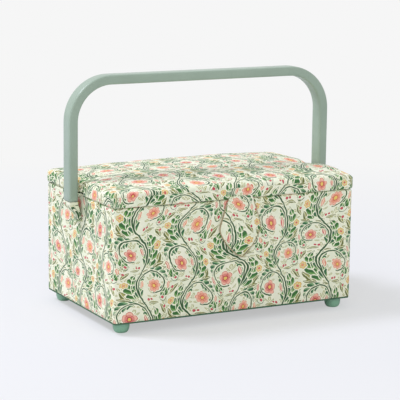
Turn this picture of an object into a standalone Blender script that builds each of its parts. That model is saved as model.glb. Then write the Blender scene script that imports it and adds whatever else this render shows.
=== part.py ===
"""Sewing box: a cloth-covered board box with a padded lid and a moulded bail handle.

Metres, +Z up, +X to the right, -Y to the front. The origin is on the ground under the middle.
Four board walls stand on a green base board with four turned feet. One printed cloth covers the
walls, another the padded lid, and a cloth strip along the back is the lid's hinge. The lid has a
notch at each end for the handle, a pincushion and a pocket inside, and a tongue with a magnet in
front. A tray lies on two card ledges. The handle's hollow legs take cloth straps that turn on
rivets through the end walls.
"""

import math

import bmesh
import bpy
from mathutils import Matrix, Vector

# Box body
BODY_WIDTH = 0.260
BODY_DEPTH = 0.162
WALL_TOP = 0.1208
BODY_CORNER_RADIUS = 0.0034
CLOTH = 0.0008
BOARD = 0.0025
SEAT_GAP = 0.0003
CUT_OVERRUN = 0.002

# Base, feet and foot screws
BASE_THICKNESS = 0.0012
BASE_INSET = 0.0004
FLOOR_THICKNESS = 0.0020
FOOT_HEIGHT = 0.010
FOOT_RADIUS = 0.0081
FOOT_SOLE_RADIUS = 0.0046
FOOT_SHOULDER_HEIGHT = 0.0072
FOOT_EDGE_INSET = 0.0128
SCREW_SHANK_RADIUS = 0.0016
SCREW_HEAD_RADIUS = 0.0033
SCREW_HEAD_HEIGHT = 0.0028
SCREW_HEAD_RECESS = 0.0008

# Ledges and tray
LEDGE_THICKNESS = 0.009
LEDGE_TOP = 0.0840
TRAY_END_CLEARANCE = 0.0023
TRAY_SIDE_CLEARANCE = 0.0011
TRAY_HEIGHT = 0.026
TRAY_WALL = 0.0016
TRAY_CORNER_RADIUS = 0.008
TRAY_POCKET_RADIUS = 0.0055
TRAY_LIP = 0.0012
TRAY_LIP_HEIGHT = 0.0016
TRAY_FRONT_ROW_DEPTH = 0.062
TRAY_BACK_CELLS = 4

# Lid
LID_OVERHANG = 0.0013
LID_SEAM_GAP = 0.0003
LID_SIDE_HEIGHT = 0.0135
LID_DOME_RISE = 0.0078
PAD_EDGE_THICKNESS = 0.0008
LID_CORNER_RADIUS = 0.0062
LID_DOME_POWER_SHARE = 2.5
LID_DOME_ROOT_SHARE = 1.5
NOTCH_HALF_WIDTH = 0.013
NOTCH_DEPTH = 0.0055
NOTCH_MOUTH_RADIUS = 0.0020
NOTCH_FLOOR_RADIUS = 0.0020
NOTCH_FADE_REACH = 0.011
SMALLEST_RADIUS = 0.00025
VALLEY_REACH = 0.024
VALLEY_HALF_WIDTH = 0.017
VALLEY_DEPTH_SHARE = 0.92

# Pincushion and pocket in the lid
PINCUSHION_WIDTH = 0.060
PINCUSHION_DEPTH = 0.048
PINCUSHION_SIDE_HEIGHT = 0.004
PINCUSHION_HEIGHT = 0.012
PINCUSHION_CORNER_RADIUS = 0.010
PINCUSHION_SIDE_MARGIN = 0.0233
POCKET_SIDE_MARGIN = 0.0313
POCKET_PINCUSHION_GAP = 0.018
POCKET_DEPTH = 0.075
POCKET_HEIGHT = 0.0064
POCKET_BACK_MARGIN = 0.030
ELASTIC_RADIUS = 0.0009

# Hinge strip along the back
HINGE_STRIP_HALF_HEIGHT = 0.0085
HINGE_STRIP_END_MARGIN = 0.012

# Tongue in front and its magnets
TONGUE_TOP_HALF_WIDTH = 0.0148
TONGUE_END_RADIUS = 0.0235
TONGUE_DROP = 0.029
TONGUE_POINT_DEPTH = 0.031
TONGUE_POINT_BLUNT_SHARE = 1.35
TONGUE_EDGE_THICKNESS = 0.0013
TONGUE_THICKNESS = 0.0030
TONGUE_FULLNESS_SHARE = 2.0
MAGNET_RADIUS = 0.007
MAGNET_THICKNESS = 0.0012
MAGNET_CLEARANCE = 0.0003

# Handle
HANDLE_SIDE_GAP = 0.0029
HANDLE_TOP = 0.2365
HANDLE_LEG_END = 0.116
HANDLE_THICKNESS = 0.0097
HANDLE_WIDTH = 0.0164
HANDLE_EDGE_RADIUS = 0.0030
HANDLE_BEND_RADIUS = 0.040
SOCKET_WALL = 0.0020
SOCKET_DEPTH = 0.024
SOCKET_CORNER_RADIUS = 0.0008

# Straps, rivets and washers at the handle's ends
PIVOT_DROP = 0.0183
STRAP_HALF_WIDTH = 0.0080
STRAP_FOOT_THICKNESS = 0.0042
STRAP_EDGE_RADIUS = 0.0010
STRAP_PLUG_MARGIN = 0.0010
STRAP_BORE_DEPTH = 0.0024
RIVET_RADIUS = 0.0016
RIVET_HOLE_RADIUS = 0.0019
RIVET_HEAD_RADIUS = 0.0045
RIVET_HEAD_THICKNESS = 0.0012
SPACER_RADIUS = 0.0050
SPACER_THICKNESS = 0.0008
WASHER_RADIUS = 0.0060
WASHER_THICKNESS = 0.0005

# Counts of steps round curves
CORNER_STEPS = 4
NOTCH_STEPS = 3
LONG_EDGE_STEPS = 8
TURNED_STEPS = 16
FOOT_ROUND_STEPS = 4
BEND_STEPS = 9
TONGUE_ARC_STEPS = 20
DOME_RING_SHARES = (0.985, 0.960, 0.925, 0.870, 0.780, 0.640, 0.440, 0.220)
TONGUE_RING_SHARES = (0.95, 0.87, 0.70, 0.35)
PINCUSHION_RING_SHARES = (0.95, 0.85, 0.68, 0.40)
NOTCH_FADE_SHARE = 0.90
STRAP_END_SHARES = (0.25, 0.50, 0.75, 1.0)
STRAP_LEAN_SHARES = (0.35, 0.70, 1.0)
AUTO_SMOOTH_ANGLE = math.radians(35.0)

# Heights that stack up from the ground
BASE_BOTTOM = FOOT_HEIGHT + SEAT_GAP
BASE_TOP = BASE_BOTTOM + BASE_THICKNESS
WALL_BOTTOM = BASE_TOP + SEAT_GAP
FLOOR_TOP = WALL_BOTTOM + FLOOR_THICKNESS
LINING_BOTTOM = FLOOR_TOP + SEAT_GAP
BOARD_TOP = WALL_TOP - CLOTH - SEAT_GAP
LID_BOTTOM = WALL_TOP + LID_SEAM_GAP
LID_RIM_BOTTOM = LID_BOTTOM + CLOTH + SEAT_GAP
LID_SIDE_TOP = LID_BOTTOM + LID_SIDE_HEIGHT
LID_PAD_BOTTOM = LID_SIDE_TOP - CLOTH - SEAT_GAP - PAD_EDGE_THICKNESS
LID_BOARD_TOP = LID_PAD_BOTTOM - SEAT_GAP
LID_BOARD_BOTTOM = LID_BOARD_TOP - BOARD
LID_RIM_TOP = LID_BOARD_BOTTOM - SEAT_GAP
LID_LINING_TOP = LID_BOARD_BOTTOM - SEAT_GAP
LID_LINING_FACE = LID_LINING_TOP - CLOTH

# Insets of the layers from the outer face, the same in the body and the lid
BOARD_INSET = CLOTH + SEAT_GAP
BOARD_INNER_INSET = BOARD_INSET + BOARD
LINING_INSET = BOARD_INNER_INSET + SEAT_GAP
LINING_INNER_INSET = LINING_INSET + CLOTH
LIP_INSET = LINING_INNER_INSET

# Plan half sizes
BODY_HALF_X = BODY_WIDTH / 2
BODY_HALF_Y = BODY_DEPTH / 2
LID_HALF_X = BODY_HALF_X + LID_OVERHANG
LID_HALF_Y = BODY_HALF_Y + LID_OVERHANG
TRAY_HALF_X = BODY_HALF_X - LINING_INNER_INSET - TRAY_END_CLEARANCE - TRAY_LIP
TRAY_HALF_Y = BODY_HALF_Y - LINING_INNER_INSET - TRAY_SIDE_CLEARANCE - TRAY_LIP
PINCUSHION_X = LID_HALF_X - PINCUSHION_SIDE_MARGIN - PINCUSHION_WIDTH / 2
POCKET_LOW_X = POCKET_SIDE_MARGIN - LID_HALF_X
POCKET_HIGH_X = PINCUSHION_X - PINCUSHION_WIDTH / 2 - POCKET_PINCUSHION_GAP
HANDLE_HALF_SPAN = LID_HALF_X + HANDLE_SIDE_GAP + HANDLE_THICKNESS / 2

# Joint axes, all along X, and the heights that follow from the wall
HINGE_Y = LID_HALF_Y + SEAT_GAP
HINGE_Z = WALL_TOP + LID_SEAM_GAP / 2
PIVOT_HEIGHT = WALL_TOP - PIVOT_DROP
TONGUE_BACK_Y = -(BODY_HALF_Y + SEAT_GAP)
TONGUE_AXIS_Y = TONGUE_BACK_Y - TONGUE_EDGE_THICKNESS
MAGNET_HEIGHT = WALL_TOP - TONGUE_DROP

SIDES = (("left", -1), ("right", 1))


def clear_scene():
    """Remove every object, so the file holds this model alone."""
    for item in list(bpy.data.objects):
        bpy.data.objects.remove(item, do_unlink=True)


def make_material(name, colour, roughness, metallic=0.0):
    """One Principled material in the piece's own colour."""
    material = bpy.data.materials.new(name)
    material.use_nodes = True
    shader = material.node_tree.nodes["Principled BSDF"]
    shader.inputs["Base Color"].default_value = (*colour, 1.0)
    shader.inputs["Roughness"].default_value = roughness
    shader.inputs["Metallic"].default_value = metallic
    material.diffuse_color = (*colour, 1.0)
    return material


def make_object(name, shape, material, place=Matrix.Identity(4)):
    """Turn a bmesh into a named object with its faces pointing out."""
    bmesh.ops.transform(shape, matrix=place, verts=shape.verts)
    bmesh.ops.recalc_face_normals(shape, faces=shape.faces)
    mesh = bpy.data.meshes.new(name)
    shape.to_mesh(mesh)
    shape.free()
    mesh.shade_smooth()
    mesh.set_sharp_from_angle(angle=AUTO_SMOOTH_ANGLE)
    mesh.materials.append(material)
    piece = bpy.data.objects.new(name, mesh)
    bpy.context.scene.collection.objects.link(piece)
    return piece


def make_axis(name, place):
    """An empty on a joint's axis, to carry the pieces that turn on it."""
    axis = bpy.data.objects.new(name, None)
    axis.location = place
    bpy.context.scene.collection.objects.link(axis)
    bpy.context.view_layer.update()
    return axis


def carry(axis, pieces):
    """Parent the pieces to an axis and leave them where they are."""
    for piece in pieces:
        piece.parent = axis
        piece.matrix_parent_inverse = axis.matrix_world.inverted()


def cut(piece, cutter):
    """Cut one shape out of a piece, and hide the cutter."""
    cutter.hide_render = True
    cutter.display_type = "WIRE"
    modifier = piece.modifiers.new("cut " + cutter.name, "BOOLEAN")
    modifier.operation = "DIFFERENCE"
    modifier.solver = "EXACT"
    modifier.object = cutter


def loft(rings, closed=False):
    """Join rings of points in order. A ring of one point is a pole; open ends get a cap."""
    shape = bmesh.new()
    levels = [[shape.verts.new(point) for point in ring] for ring in rings]
    pairs = list(zip(levels, levels[1:]))
    if closed:
        pairs.append((levels[-1], levels[0]))
    for lower, upper in pairs:
        bridge(shape, lower, upper)
    if not closed:
        for ring in (levels[0], levels[-1]):
            if len(ring) > 1:
                shape.faces.new(ring)
    return shape


def bridge(shape, lower, upper):
    """Faces between two rings, or between a ring and a pole."""
    count = max(len(lower), len(upper))
    for index in range(count):
        following = (index + 1) % count
        if len(lower) == 1:
            shape.faces.new((lower[0], upper[index], upper[following]))
        elif len(upper) == 1:
            shape.faces.new((lower[index], lower[following], upper[0]))
        else:
            shape.faces.new((lower[index], lower[following], upper[following], upper[index]))


def turned(profile, closed=False):
    """A turned solid about Z from (radius, height) points."""
    rings = []
    for radius, height in profile:
        if radius == 0:
            rings.append([Vector((0, 0, height))])
            continue
        turns = [math.tau * step / TURNED_STEPS for step in range(TURNED_STEPS)]
        rings.append([Vector((radius * math.cos(turn), radius * math.sin(turn), height)) for turn in turns])
    return loft(rings, closed)


def arc_points(centre, radius, start, end, steps):
    """Points on an arc, both ends included."""
    turns = [start + (end - start) * step / steps for step in range(steps + 1)]
    return [(centre[0] + radius * math.cos(turn), centre[1] + radius * math.sin(turn)) for turn in turns]


def rounded_rectangle(half_x, half_y, radius, steps=CORNER_STEPS):
    """Plan outline with four round corners, anticlockwise."""
    outline = []
    quarter = math.pi / 2
    corners = ((1, 1, 0), (-1, 1, 1), (-1, -1, 2), (1, -1, 3))
    for side_x, side_y, turn in corners:
        centre = (side_x * (half_x - radius), side_y * (half_y - radius))
        outline += arc_points(centre, radius, turn * quarter, (turn + 1) * quarter, steps)
    return outline


def body_outline(inset):
    """The body's plan outline, drawn in by an inset."""
    radius = max(BODY_CORNER_RADIUS - inset, SMALLEST_RADIUS)
    return rounded_rectangle(BODY_HALF_X - inset, BODY_HALF_Y - inset, radius)


def right_end_of_lid(inset):
    """The lid's right end with its notch, from the back corner's end to the front corner's start."""
    mouth = max(NOTCH_MOUTH_RADIUS - inset, SMALLEST_RADIUS)
    floor = min(NOTCH_FLOOR_RADIUS + inset, NOTCH_DEPTH - mouth - SMALLEST_RADIUS)
    end_x = LID_HALF_X - inset
    floor_x = end_x - NOTCH_DEPTH
    side_y = NOTCH_HALF_WIDTH + inset
    quarter = math.pi / 2
    half = arc_points((floor_x + floor, side_y - floor), floor, 2 * quarter, quarter, NOTCH_STEPS)
    half += arc_points((end_x - mouth, side_y + mouth), mouth, -quarter, 0, NOTCH_STEPS)
    mirrored = [(x, -y) for x, y in reversed(half)]
    return mirrored + half


def lid_outline(inset):
    """The lid's plan outline with a notch at each end, anticlockwise, drawn in by an inset."""
    radius = max(LID_CORNER_RADIUS - inset, SMALLEST_RADIUS)
    centre_x = LID_HALF_X - inset - radius
    centre_y = LID_HALF_Y - inset - radius
    quarter = math.pi / 2
    back_corner = arc_points((centre_x, centre_y), radius, 0, quarter, CORNER_STEPS)
    steps = range(1, LONG_EDGE_STEPS)
    back_edge = [(centre_x - 2 * centre_x * step / LONG_EDGE_STEPS, centre_y + radius) for step in steps]
    half = right_end_of_lid(inset) + back_corner + back_edge + [(-x, y) for x, y in reversed(back_corner)]
    left_end = [(-x, y) for x, y in reversed(right_end_of_lid(inset))]
    front = [(-x, -y) for x, y in back_corner + back_edge]
    return half + left_end + front + [(x, -y) for x, y in reversed(back_corner)]


def level(outline, height):
    """An outline's points at one height."""
    return [Vector((x, y, height)) for x, y in outline]


def scaled(outline, share):
    """An outline shrunk about the middle."""
    return [(share * x, share * y) for x, y in outline]


def raised(outline, surface):
    """An outline's points lifted onto a surface."""
    return [Vector((x, y, surface(x, y))) for x, y in outline]


def dome_rings(outline, shares, surface):
    """Rings of a dome from its edge to the pole in the middle."""
    rings = [raised(outline, surface)]
    rings += [raised(scaled(outline, share), surface) for share in shares]
    rings.append([Vector((0, 0, surface(0, 0)))])
    return rings


def faded_notch(outline, share):
    """The lid's outline with its notches filled, little by little, toward the middle rings."""
    end_x = max(x for x, _ in outline)
    keep = max((share - NOTCH_FADE_SHARE) / (1 - NOTCH_FADE_SHARE), 0)
    reach = NOTCH_HALF_WIDTH + LID_CORNER_RADIUS
    points = []
    for x, y in outline:
        if abs(y) < reach and abs(x) > end_x - NOTCH_FADE_REACH:
            x = math.copysign(end_x - (end_x - abs(x)) * keep, x)
        points.append((x, y))
    return points


def lid_dome_rings(outline, surface):
    """Rings of the padded top, in which the notches fade out toward the middle."""
    rings = [raised(outline, surface)]
    for share in DOME_RING_SHARES:
        rings.append(raised(scaled(faded_notch(outline, share), share), surface))
    rings.append([Vector((0, 0, surface(0, 0)))])
    return rings


def plate(outline, bottom, top):
    """A flat plate between two heights."""
    return loft([level(outline, bottom), level(outline, top)])


def block(low, high):
    """A plain box between two corners."""
    corners = ((low[0], low[1]), (high[0], low[1]), (high[0], high[1]), (low[0], high[1]))
    return plate(corners, low[2], high[2])


def lid_rise(x, y):
    """How far the padded top stands above the lid's side, from 0 at the edge."""
    across = 1 - min(abs(x) / LID_HALF_X, 1) ** LID_DOME_POWER_SHARE
    along = 1 - min(abs(y) / LID_HALF_Y, 1) ** LID_DOME_POWER_SHARE
    crown = (across * along) ** (1 / LID_DOME_ROOT_SHARE)
    inward = (LID_HALF_X - abs(x)) / VALLEY_REACH
    sideways = y / VALLEY_HALF_WIDTH
    valley = VALLEY_DEPTH_SHARE * math.exp(-inward ** 2 - sideways ** 2)
    return LID_DOME_RISE * crown * (1 - valley)


def cover_top(x, y):
    """Height of the lid cloth's outer face."""
    return LID_SIDE_TOP + lid_rise(x, y)


def cover_underside(x, y):
    """Height of the lid cloth's inner face."""
    return cover_top(x, y) - CLOTH


def pad_top(x, y):
    """Height of the foam pad under the cloth."""
    return cover_underside(x, y) - SEAT_GAP


def along_x(x, y, z):
    """Place a shape turned about Z so that it runs along +X."""
    return Matrix.Translation((x, y, z)) @ Matrix.Rotation(math.pi / 2, 4, "Y")


def make_base(materials):
    """The green base board, the inner floor, the feet and their screws."""
    foot_x = BODY_HALF_X - FOOT_EDGE_INSET
    foot_y = BODY_HALF_Y - FOOT_EDGE_INSET
    places = {
        "front_left": (-foot_x, -foot_y),
        "front_right": (foot_x, -foot_y),
        "back_left": (-foot_x, foot_y),
        "back_right": (foot_x, foot_y),
    }
    base = make_object("base_board", plate(body_outline(BASE_INSET), BASE_BOTTOM, BASE_TOP), materials["base"])
    inner = body_outline(BOARD_INNER_INSET + SEAT_GAP)
    floor = make_object("floor_board", plate(inner, WALL_BOTTOM, FLOOR_TOP), materials["board"])
    hole_radius = SCREW_SHANK_RADIUS + SEAT_GAP
    recess_radius = SCREW_HEAD_RADIUS + SEAT_GAP
    recess_top = SCREW_HEAD_RECESS + SCREW_HEAD_HEIGHT + SEAT_GAP
    foot_profile = [(hole_radius, FOOT_HEIGHT), (FOOT_RADIUS, FOOT_HEIGHT)]
    for step in range(FOOT_ROUND_STEPS + 1):
        turn = math.pi / 2 * step / FOOT_ROUND_STEPS
        radius = FOOT_SOLE_RADIUS + (FOOT_RADIUS - FOOT_SOLE_RADIUS) * math.cos(turn)
        foot_profile.append((radius, FOOT_SHOULDER_HEIGHT * (1 - math.sin(turn))))
    foot_profile += [(recess_radius, 0), (recess_radius, recess_top), (hole_radius, recess_top)]
    screw_end = FLOOR_TOP - SEAT_GAP
    screw_profile = (
        (0, SCREW_HEAD_RECESS),
        (SCREW_HEAD_RADIUS, SCREW_HEAD_RECESS),
        (SCREW_HEAD_RADIUS, SCREW_HEAD_RECESS + SCREW_HEAD_HEIGHT),
        (SCREW_SHANK_RADIUS, SCREW_HEAD_RECESS + SCREW_HEAD_HEIGHT),
        (SCREW_SHANK_RADIUS, screw_end),
        (0, screw_end),
    )
    hole_profile = (
        (0, FOOT_HEIGHT - CUT_OVERRUN),
        (hole_radius, FOOT_HEIGHT - CUT_OVERRUN),
        (hole_radius, LINING_BOTTOM + CUT_OVERRUN),
        (0, LINING_BOTTOM + CUT_OVERRUN),
    )
    holes = bmesh.new()
    for name, (x, y) in places.items():
        foot = make_object("foot_" + name, turned(foot_profile, closed=True), materials["foot"])
        screw = make_object("foot_screw_" + name, turned(screw_profile), materials["steel"])
        foot.location = (x, y, 0)
        screw.location = (x, y, 0)
        single = turned(hole_profile)
        bmesh.ops.translate(single, vec=(x, y, 0), verts=single.verts)
        add_to(holes, single)
    hole_cutter = make_object("screw_holes", holes, materials["steel"])
    cut(base, hole_cutter)
    cut(floor, hole_cutter)


def add_to(group, single):
    """Add one bmesh to another as a separate body."""
    mesh = bpy.data.meshes.new("part of a group")
    single.to_mesh(mesh)
    single.free()
    group.from_mesh(mesh)
    bpy.data.meshes.remove(mesh)


def round_ended_board(half_x, inner_y, outer_y, bottom, top):
    """A front or back board, its two outer corners rounded to the body's corner."""
    radius = BODY_CORNER_RADIUS - BOARD_INSET
    quarter = math.pi / 2
    outline = [(-half_x, inner_y), (half_x, inner_y)]
    outline += arc_points((half_x - radius, outer_y - radius), radius, 0, quarter, CORNER_STEPS)
    outline += arc_points((-half_x + radius, outer_y - radius), radius, quarter, 2 * quarter, CORNER_STEPS)
    return plate(outline, bottom, top)


def make_walls(materials):
    """Four wall boards, their printed cover and the lining tub."""
    board_x = BODY_HALF_X - BOARD_INSET
    board_y = BODY_HALF_Y - BOARD_INSET
    inner_y = BODY_HALF_Y - BOARD_INNER_INSET
    back_shape = round_ended_board(board_x, inner_y, board_y, WALL_BOTTOM, BOARD_TOP)
    make_object("back_board", back_shape, materials["board"])
    front_shape = round_ended_board(board_x, inner_y, board_y, WALL_BOTTOM, BOARD_TOP)
    half_turn = Matrix.Rotation(math.pi, 4, "Z")
    front = make_object("front_board", front_shape, materials["board"], half_turn)
    cut(front, make_magnet_cutter(materials))
    ends = []
    for side, sign in SIDES:
        low_x = board_x - BOARD
        end_y = inner_y - SEAT_GAP
        shape = block((low_x, -end_y, WALL_BOTTOM), (board_x, end_y, BOARD_TOP))
        turn = Matrix.Rotation(math.pi if sign < 0 else 0, 4, "Z")
        ends.append(make_object(side + "_board", shape, materials["board"], turn))
    cover_profile = (
        (0, WALL_BOTTOM),
        (0, WALL_TOP),
        (LIP_INSET, WALL_TOP),
        (LIP_INSET, WALL_TOP - CLOTH),
        (CLOTH, WALL_TOP - CLOTH),
        (CLOTH, WALL_BOTTOM),
    )
    cover_shape = loft([level(body_outline(inset), height) for inset, height in cover_profile], closed=True)
    cover = make_object("wall_cover", cover_shape, materials["print"])
    lining_profile = (
        (LINING_INSET, LINING_BOTTOM),
        (LINING_INSET, BOARD_TOP),
        (LINING_INNER_INSET, BOARD_TOP),
        (LINING_INNER_INSET, LINING_BOTTOM + CLOTH),
    )
    lining_shape = loft([level(body_outline(inset), height) for inset, height in lining_profile])
    lining = make_object("lining", lining_shape, materials["lining"])
    reach = BODY_HALF_X + CUT_OVERRUN
    hole_shape = turned(((0, -reach), (RIVET_HOLE_RADIUS, -reach), (RIVET_HOLE_RADIUS, reach), (0, reach)))
    rivet_holes = make_object("rivet_holes", hole_shape, materials["steel"], along_x(0, 0, PIVOT_HEIGHT))
    for piece in (*ends, cover, lining):
        cut(piece, rivet_holes)


def make_magnet_cutter(materials):
    """The hole through the front board for the hidden magnet."""
    radius = MAGNET_RADIUS + MAGNET_CLEARANCE
    near = BODY_HALF_Y + CUT_OVERRUN
    far = BODY_HALF_Y - BOARD_INNER_INSET - CUT_OVERRUN
    shape = turned(((0, far), (radius, far), (radius, near), (0, near)))
    return make_object("magnet_hole", shape, materials["steel"], toward_front(0, MAGNET_HEIGHT))


def toward_front(x, z):
    """Place a shape built with +Y up and +Z out so that it faces the front."""
    return Matrix.Translation((x, 0, z)) @ Matrix.Rotation(math.pi / 2, 4, "X")


def make_ledges_and_tray(materials):
    """Two folded card ledges and the moulded tray that lies on them."""
    inner_x = BODY_HALF_X - LINING_INNER_INSET - SEAT_GAP
    ledge_y = BODY_HALF_Y - LINING_INNER_INSET - SEAT_GAP
    floor_z = LINING_BOTTOM + CLOTH + SEAT_GAP
    for side, sign in SIDES:
        near, far = sorted((sign * inner_x, sign * (inner_x - LEDGE_THICKNESS)))
        shape = block((near, -ledge_y, floor_z), (far, ledge_y, LEDGE_TOP))
        make_object(side + "_ledge", shape, materials["lining"])
    bottom = LEDGE_TOP + SEAT_GAP
    top = bottom + TRAY_HEIGHT
    lip_bottom = top - TRAY_LIP_HEIGHT
    base = rounded_rectangle(TRAY_HALF_X, TRAY_HALF_Y, TRAY_CORNER_RADIUS)
    lip_radius = TRAY_CORNER_RADIUS + TRAY_LIP
    lip = rounded_rectangle(TRAY_HALF_X + TRAY_LIP, TRAY_HALF_Y + TRAY_LIP, lip_radius)
    rings = [level(base, bottom), level(base, lip_bottom), level(lip, lip_bottom), level(lip, top)]
    tray = make_object("tray", loft(rings), materials["tray"])
    cut(tray, make_object("tray_pockets", tray_pockets(bottom + TRAY_WALL, top), materials["tray"]))
    return tray


def tray_pockets(bottom, top):
    """The hollows of the tray: one long row in front and equal cells behind."""
    inner_x = TRAY_HALF_X - TRAY_WALL
    inner_y = TRAY_HALF_Y - TRAY_WALL
    back_row_start = TRAY_FRONT_ROW_DEPTH - inner_y + TRAY_WALL
    cell_width = (2 * inner_x - (TRAY_BACK_CELLS - 1) * TRAY_WALL) / TRAY_BACK_CELLS
    hollows = [(-inner_x, -inner_y, inner_x, TRAY_FRONT_ROW_DEPTH - inner_y)]
    for index in range(TRAY_BACK_CELLS):
        start = index * (cell_width + TRAY_WALL) - inner_x
        hollows.append((start, back_row_start, start + cell_width, inner_y))
    pockets = bmesh.new()
    for low_x, low_y, high_x, high_y in hollows:
        outline = rounded_rectangle((high_x - low_x) / 2, (high_y - low_y) / 2, TRAY_POCKET_RADIUS)
        single = plate(outline, bottom, top + CUT_OVERRUN)
        middle = ((low_x + high_x) / 2, (low_y + high_y) / 2, 0)
        bmesh.ops.translate(single, vec=middle, verts=single.verts)
        bmesh.ops.recalc_face_normals(single, faces=single.faces)
        add_to(pockets, single)
    return pockets


def make_lid(materials):
    """The lid's board, rim, foam pad, printed cover and lining."""
    board = plate(lid_outline(BOARD_INSET), LID_BOARD_BOTTOM, LID_BOARD_TOP)
    rim_profile = (
        (BOARD_INSET, LID_RIM_BOTTOM),
        (BOARD_INSET, LID_RIM_TOP),
        (BOARD_INNER_INSET, LID_RIM_TOP),
        (BOARD_INNER_INSET, LID_RIM_BOTTOM),
    )
    rim = loft([level(lid_outline(inset), height) for inset, height in rim_profile], closed=True)
    lining_profile = (
        (LINING_INSET, LID_LINING_TOP),
        (LINING_INSET, LID_RIM_BOTTOM),
        (LINING_INNER_INSET, LID_RIM_BOTTOM),
        (LINING_INNER_INSET, LID_LINING_FACE),
    )
    lining = loft([level(lid_outline(inset), height) for inset, height in lining_profile])
    pad_outline = lid_outline(BOARD_INSET)
    pad_rings = [level(pad_outline, LID_PAD_BOTTOM)]
    pad_rings += lid_dome_rings(pad_outline, pad_top)
    outer = lid_dome_rings(lid_outline(0), cover_top)
    inner = lid_dome_rings(lid_outline(CLOTH), cover_underside)
    fold = [
        level(lid_outline(0), LID_BOTTOM),
        level(lid_outline(LIP_INSET), LID_BOTTOM),
        level(lid_outline(LIP_INSET), LID_BOTTOM + CLOTH),
        level(lid_outline(CLOTH), LID_BOTTOM + CLOTH),
    ]
    cover = loft(list(reversed(outer)) + fold + inner)
    return [
        make_object("lid_board", board, materials["board"]),
        make_object("lid_rim", rim, materials["board"]),
        make_object("lid_pad", loft(pad_rings), materials["foam"]),
        make_object("lid_cover", cover, materials["print"]),
        make_object("lid_lining", lining, materials["lining"]),
    ]


def make_lid_fittings(materials):
    """The pincushion, the pocket and its elastic on the lid's lining."""
    seat = LID_LINING_FACE - SEAT_GAP
    half_x = PINCUSHION_WIDTH / 2
    half_y = PINCUSHION_DEPTH / 2
    rise = PINCUSHION_HEIGHT - PINCUSHION_SIDE_HEIGHT

    def cushion_top(x, y):
        """Height of the stuffed face above the cushion's flat back."""
        bulge = (1 - (x / half_x) ** 2) * (1 - (y / half_y) ** 2)
        return PINCUSHION_SIDE_HEIGHT + rise * math.sqrt(max(bulge, 0))

    outline = rounded_rectangle(half_x, half_y, PINCUSHION_CORNER_RADIUS)
    rings = [level(outline, 0)] + dome_rings(outline, PINCUSHION_RING_SHARES, cushion_top)
    face_down = Matrix.Translation((PINCUSHION_X, 0, seat)) @ Matrix.Rotation(math.pi, 4, "X")
    cushion = make_object("pincushion", loft(rings), materials["cushion"], face_down)
    high_y = LID_HALF_Y - POCKET_BACK_MARGIN
    low_y = high_y - POCKET_DEPTH
    low_z = seat - POCKET_HEIGHT
    pocket_block = block((POCKET_LOW_X, low_y, low_z), (POCKET_HIGH_X, high_y, seat))
    pocket = make_object("lid_pocket", pocket_block, materials["lining"])
    hollow_low = (POCKET_LOW_X + CLOTH, low_y - CUT_OVERRUN, low_z + CLOTH)
    hollow_high = (POCKET_HIGH_X - CLOTH, high_y - CLOTH, seat + CUT_OVERRUN)
    cut(pocket, make_object("pocket_hollow", block(hollow_low, hollow_high), materials["lining"]))
    elastic_z = low_z - SEAT_GAP - ELASTIC_RADIUS
    elastic_y = low_y + ELASTIC_RADIUS
    half_length = (POCKET_HIGH_X - POCKET_LOW_X) / 2
    middle_x = (POCKET_LOW_X + POCKET_HIGH_X) / 2
    rod = turned(((0, -half_length), (ELASTIC_RADIUS, -half_length), (ELASTIC_RADIUS, half_length), (0, half_length)))
    elastic = make_object("pocket_elastic", rod, materials["print"], along_x(middle_x, elastic_y, elastic_z))
    return [cushion, pocket, elastic]


def make_hinge_strip(materials):
    """The cloth hinge, in two halves that meet on the hinge's axis."""
    half_x = BODY_HALF_X - HINGE_STRIP_END_MARGIN
    wall_y = BODY_HALF_Y + SEAT_GAP
    lid_y = LID_HALF_Y + SEAT_GAP
    lower_low = (-half_x, wall_y, HINGE_Z - HINGE_STRIP_HALF_HEIGHT)
    lower = block(lower_low, (half_x, wall_y + CLOTH, WALL_TOP))
    upper = block((-half_x, lid_y, LID_BOTTOM), (half_x, lid_y + CLOTH, HINGE_Z + HINGE_STRIP_HALF_HEIGHT))
    make_object("hinge_cloth_lower", lower, materials["print"])
    return make_object("hinge_cloth_upper", upper, materials["print"])


def tongue_outline():
    """The tongue's outline: flared sides run tangent into round flanks that narrow to a blunt point.

    The widest part lies on the level of the origin and the sewn top above it.
    """
    reach = math.hypot(TONGUE_TOP_HALF_WIDTH, TONGUE_DROP)
    bearing = math.atan2(TONGUE_DROP, TONGUE_TOP_HALF_WIDTH)
    tangent = bearing - math.acos(TONGUE_END_RADIUS / reach)
    outline = []
    for x, y in arc_points((0, 0), TONGUE_END_RADIUS, -math.pi - tangent, tangent, TONGUE_ARC_STEPS):
        if y < 0:
            across = abs(x / TONGUE_END_RADIUS) ** (2 / TONGUE_POINT_BLUNT_SHARE)
            down = abs(y / TONGUE_END_RADIUS) ** (2 / TONGUE_POINT_BLUNT_SHARE)
            x, y = math.copysign(across * TONGUE_END_RADIUS, x), -down * TONGUE_POINT_DEPTH
        outline.append((x, y))
    return outline + [(TONGUE_TOP_HALF_WIDTH, TONGUE_DROP), (-TONGUE_TOP_HALF_WIDTH, TONGUE_DROP)]


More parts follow.
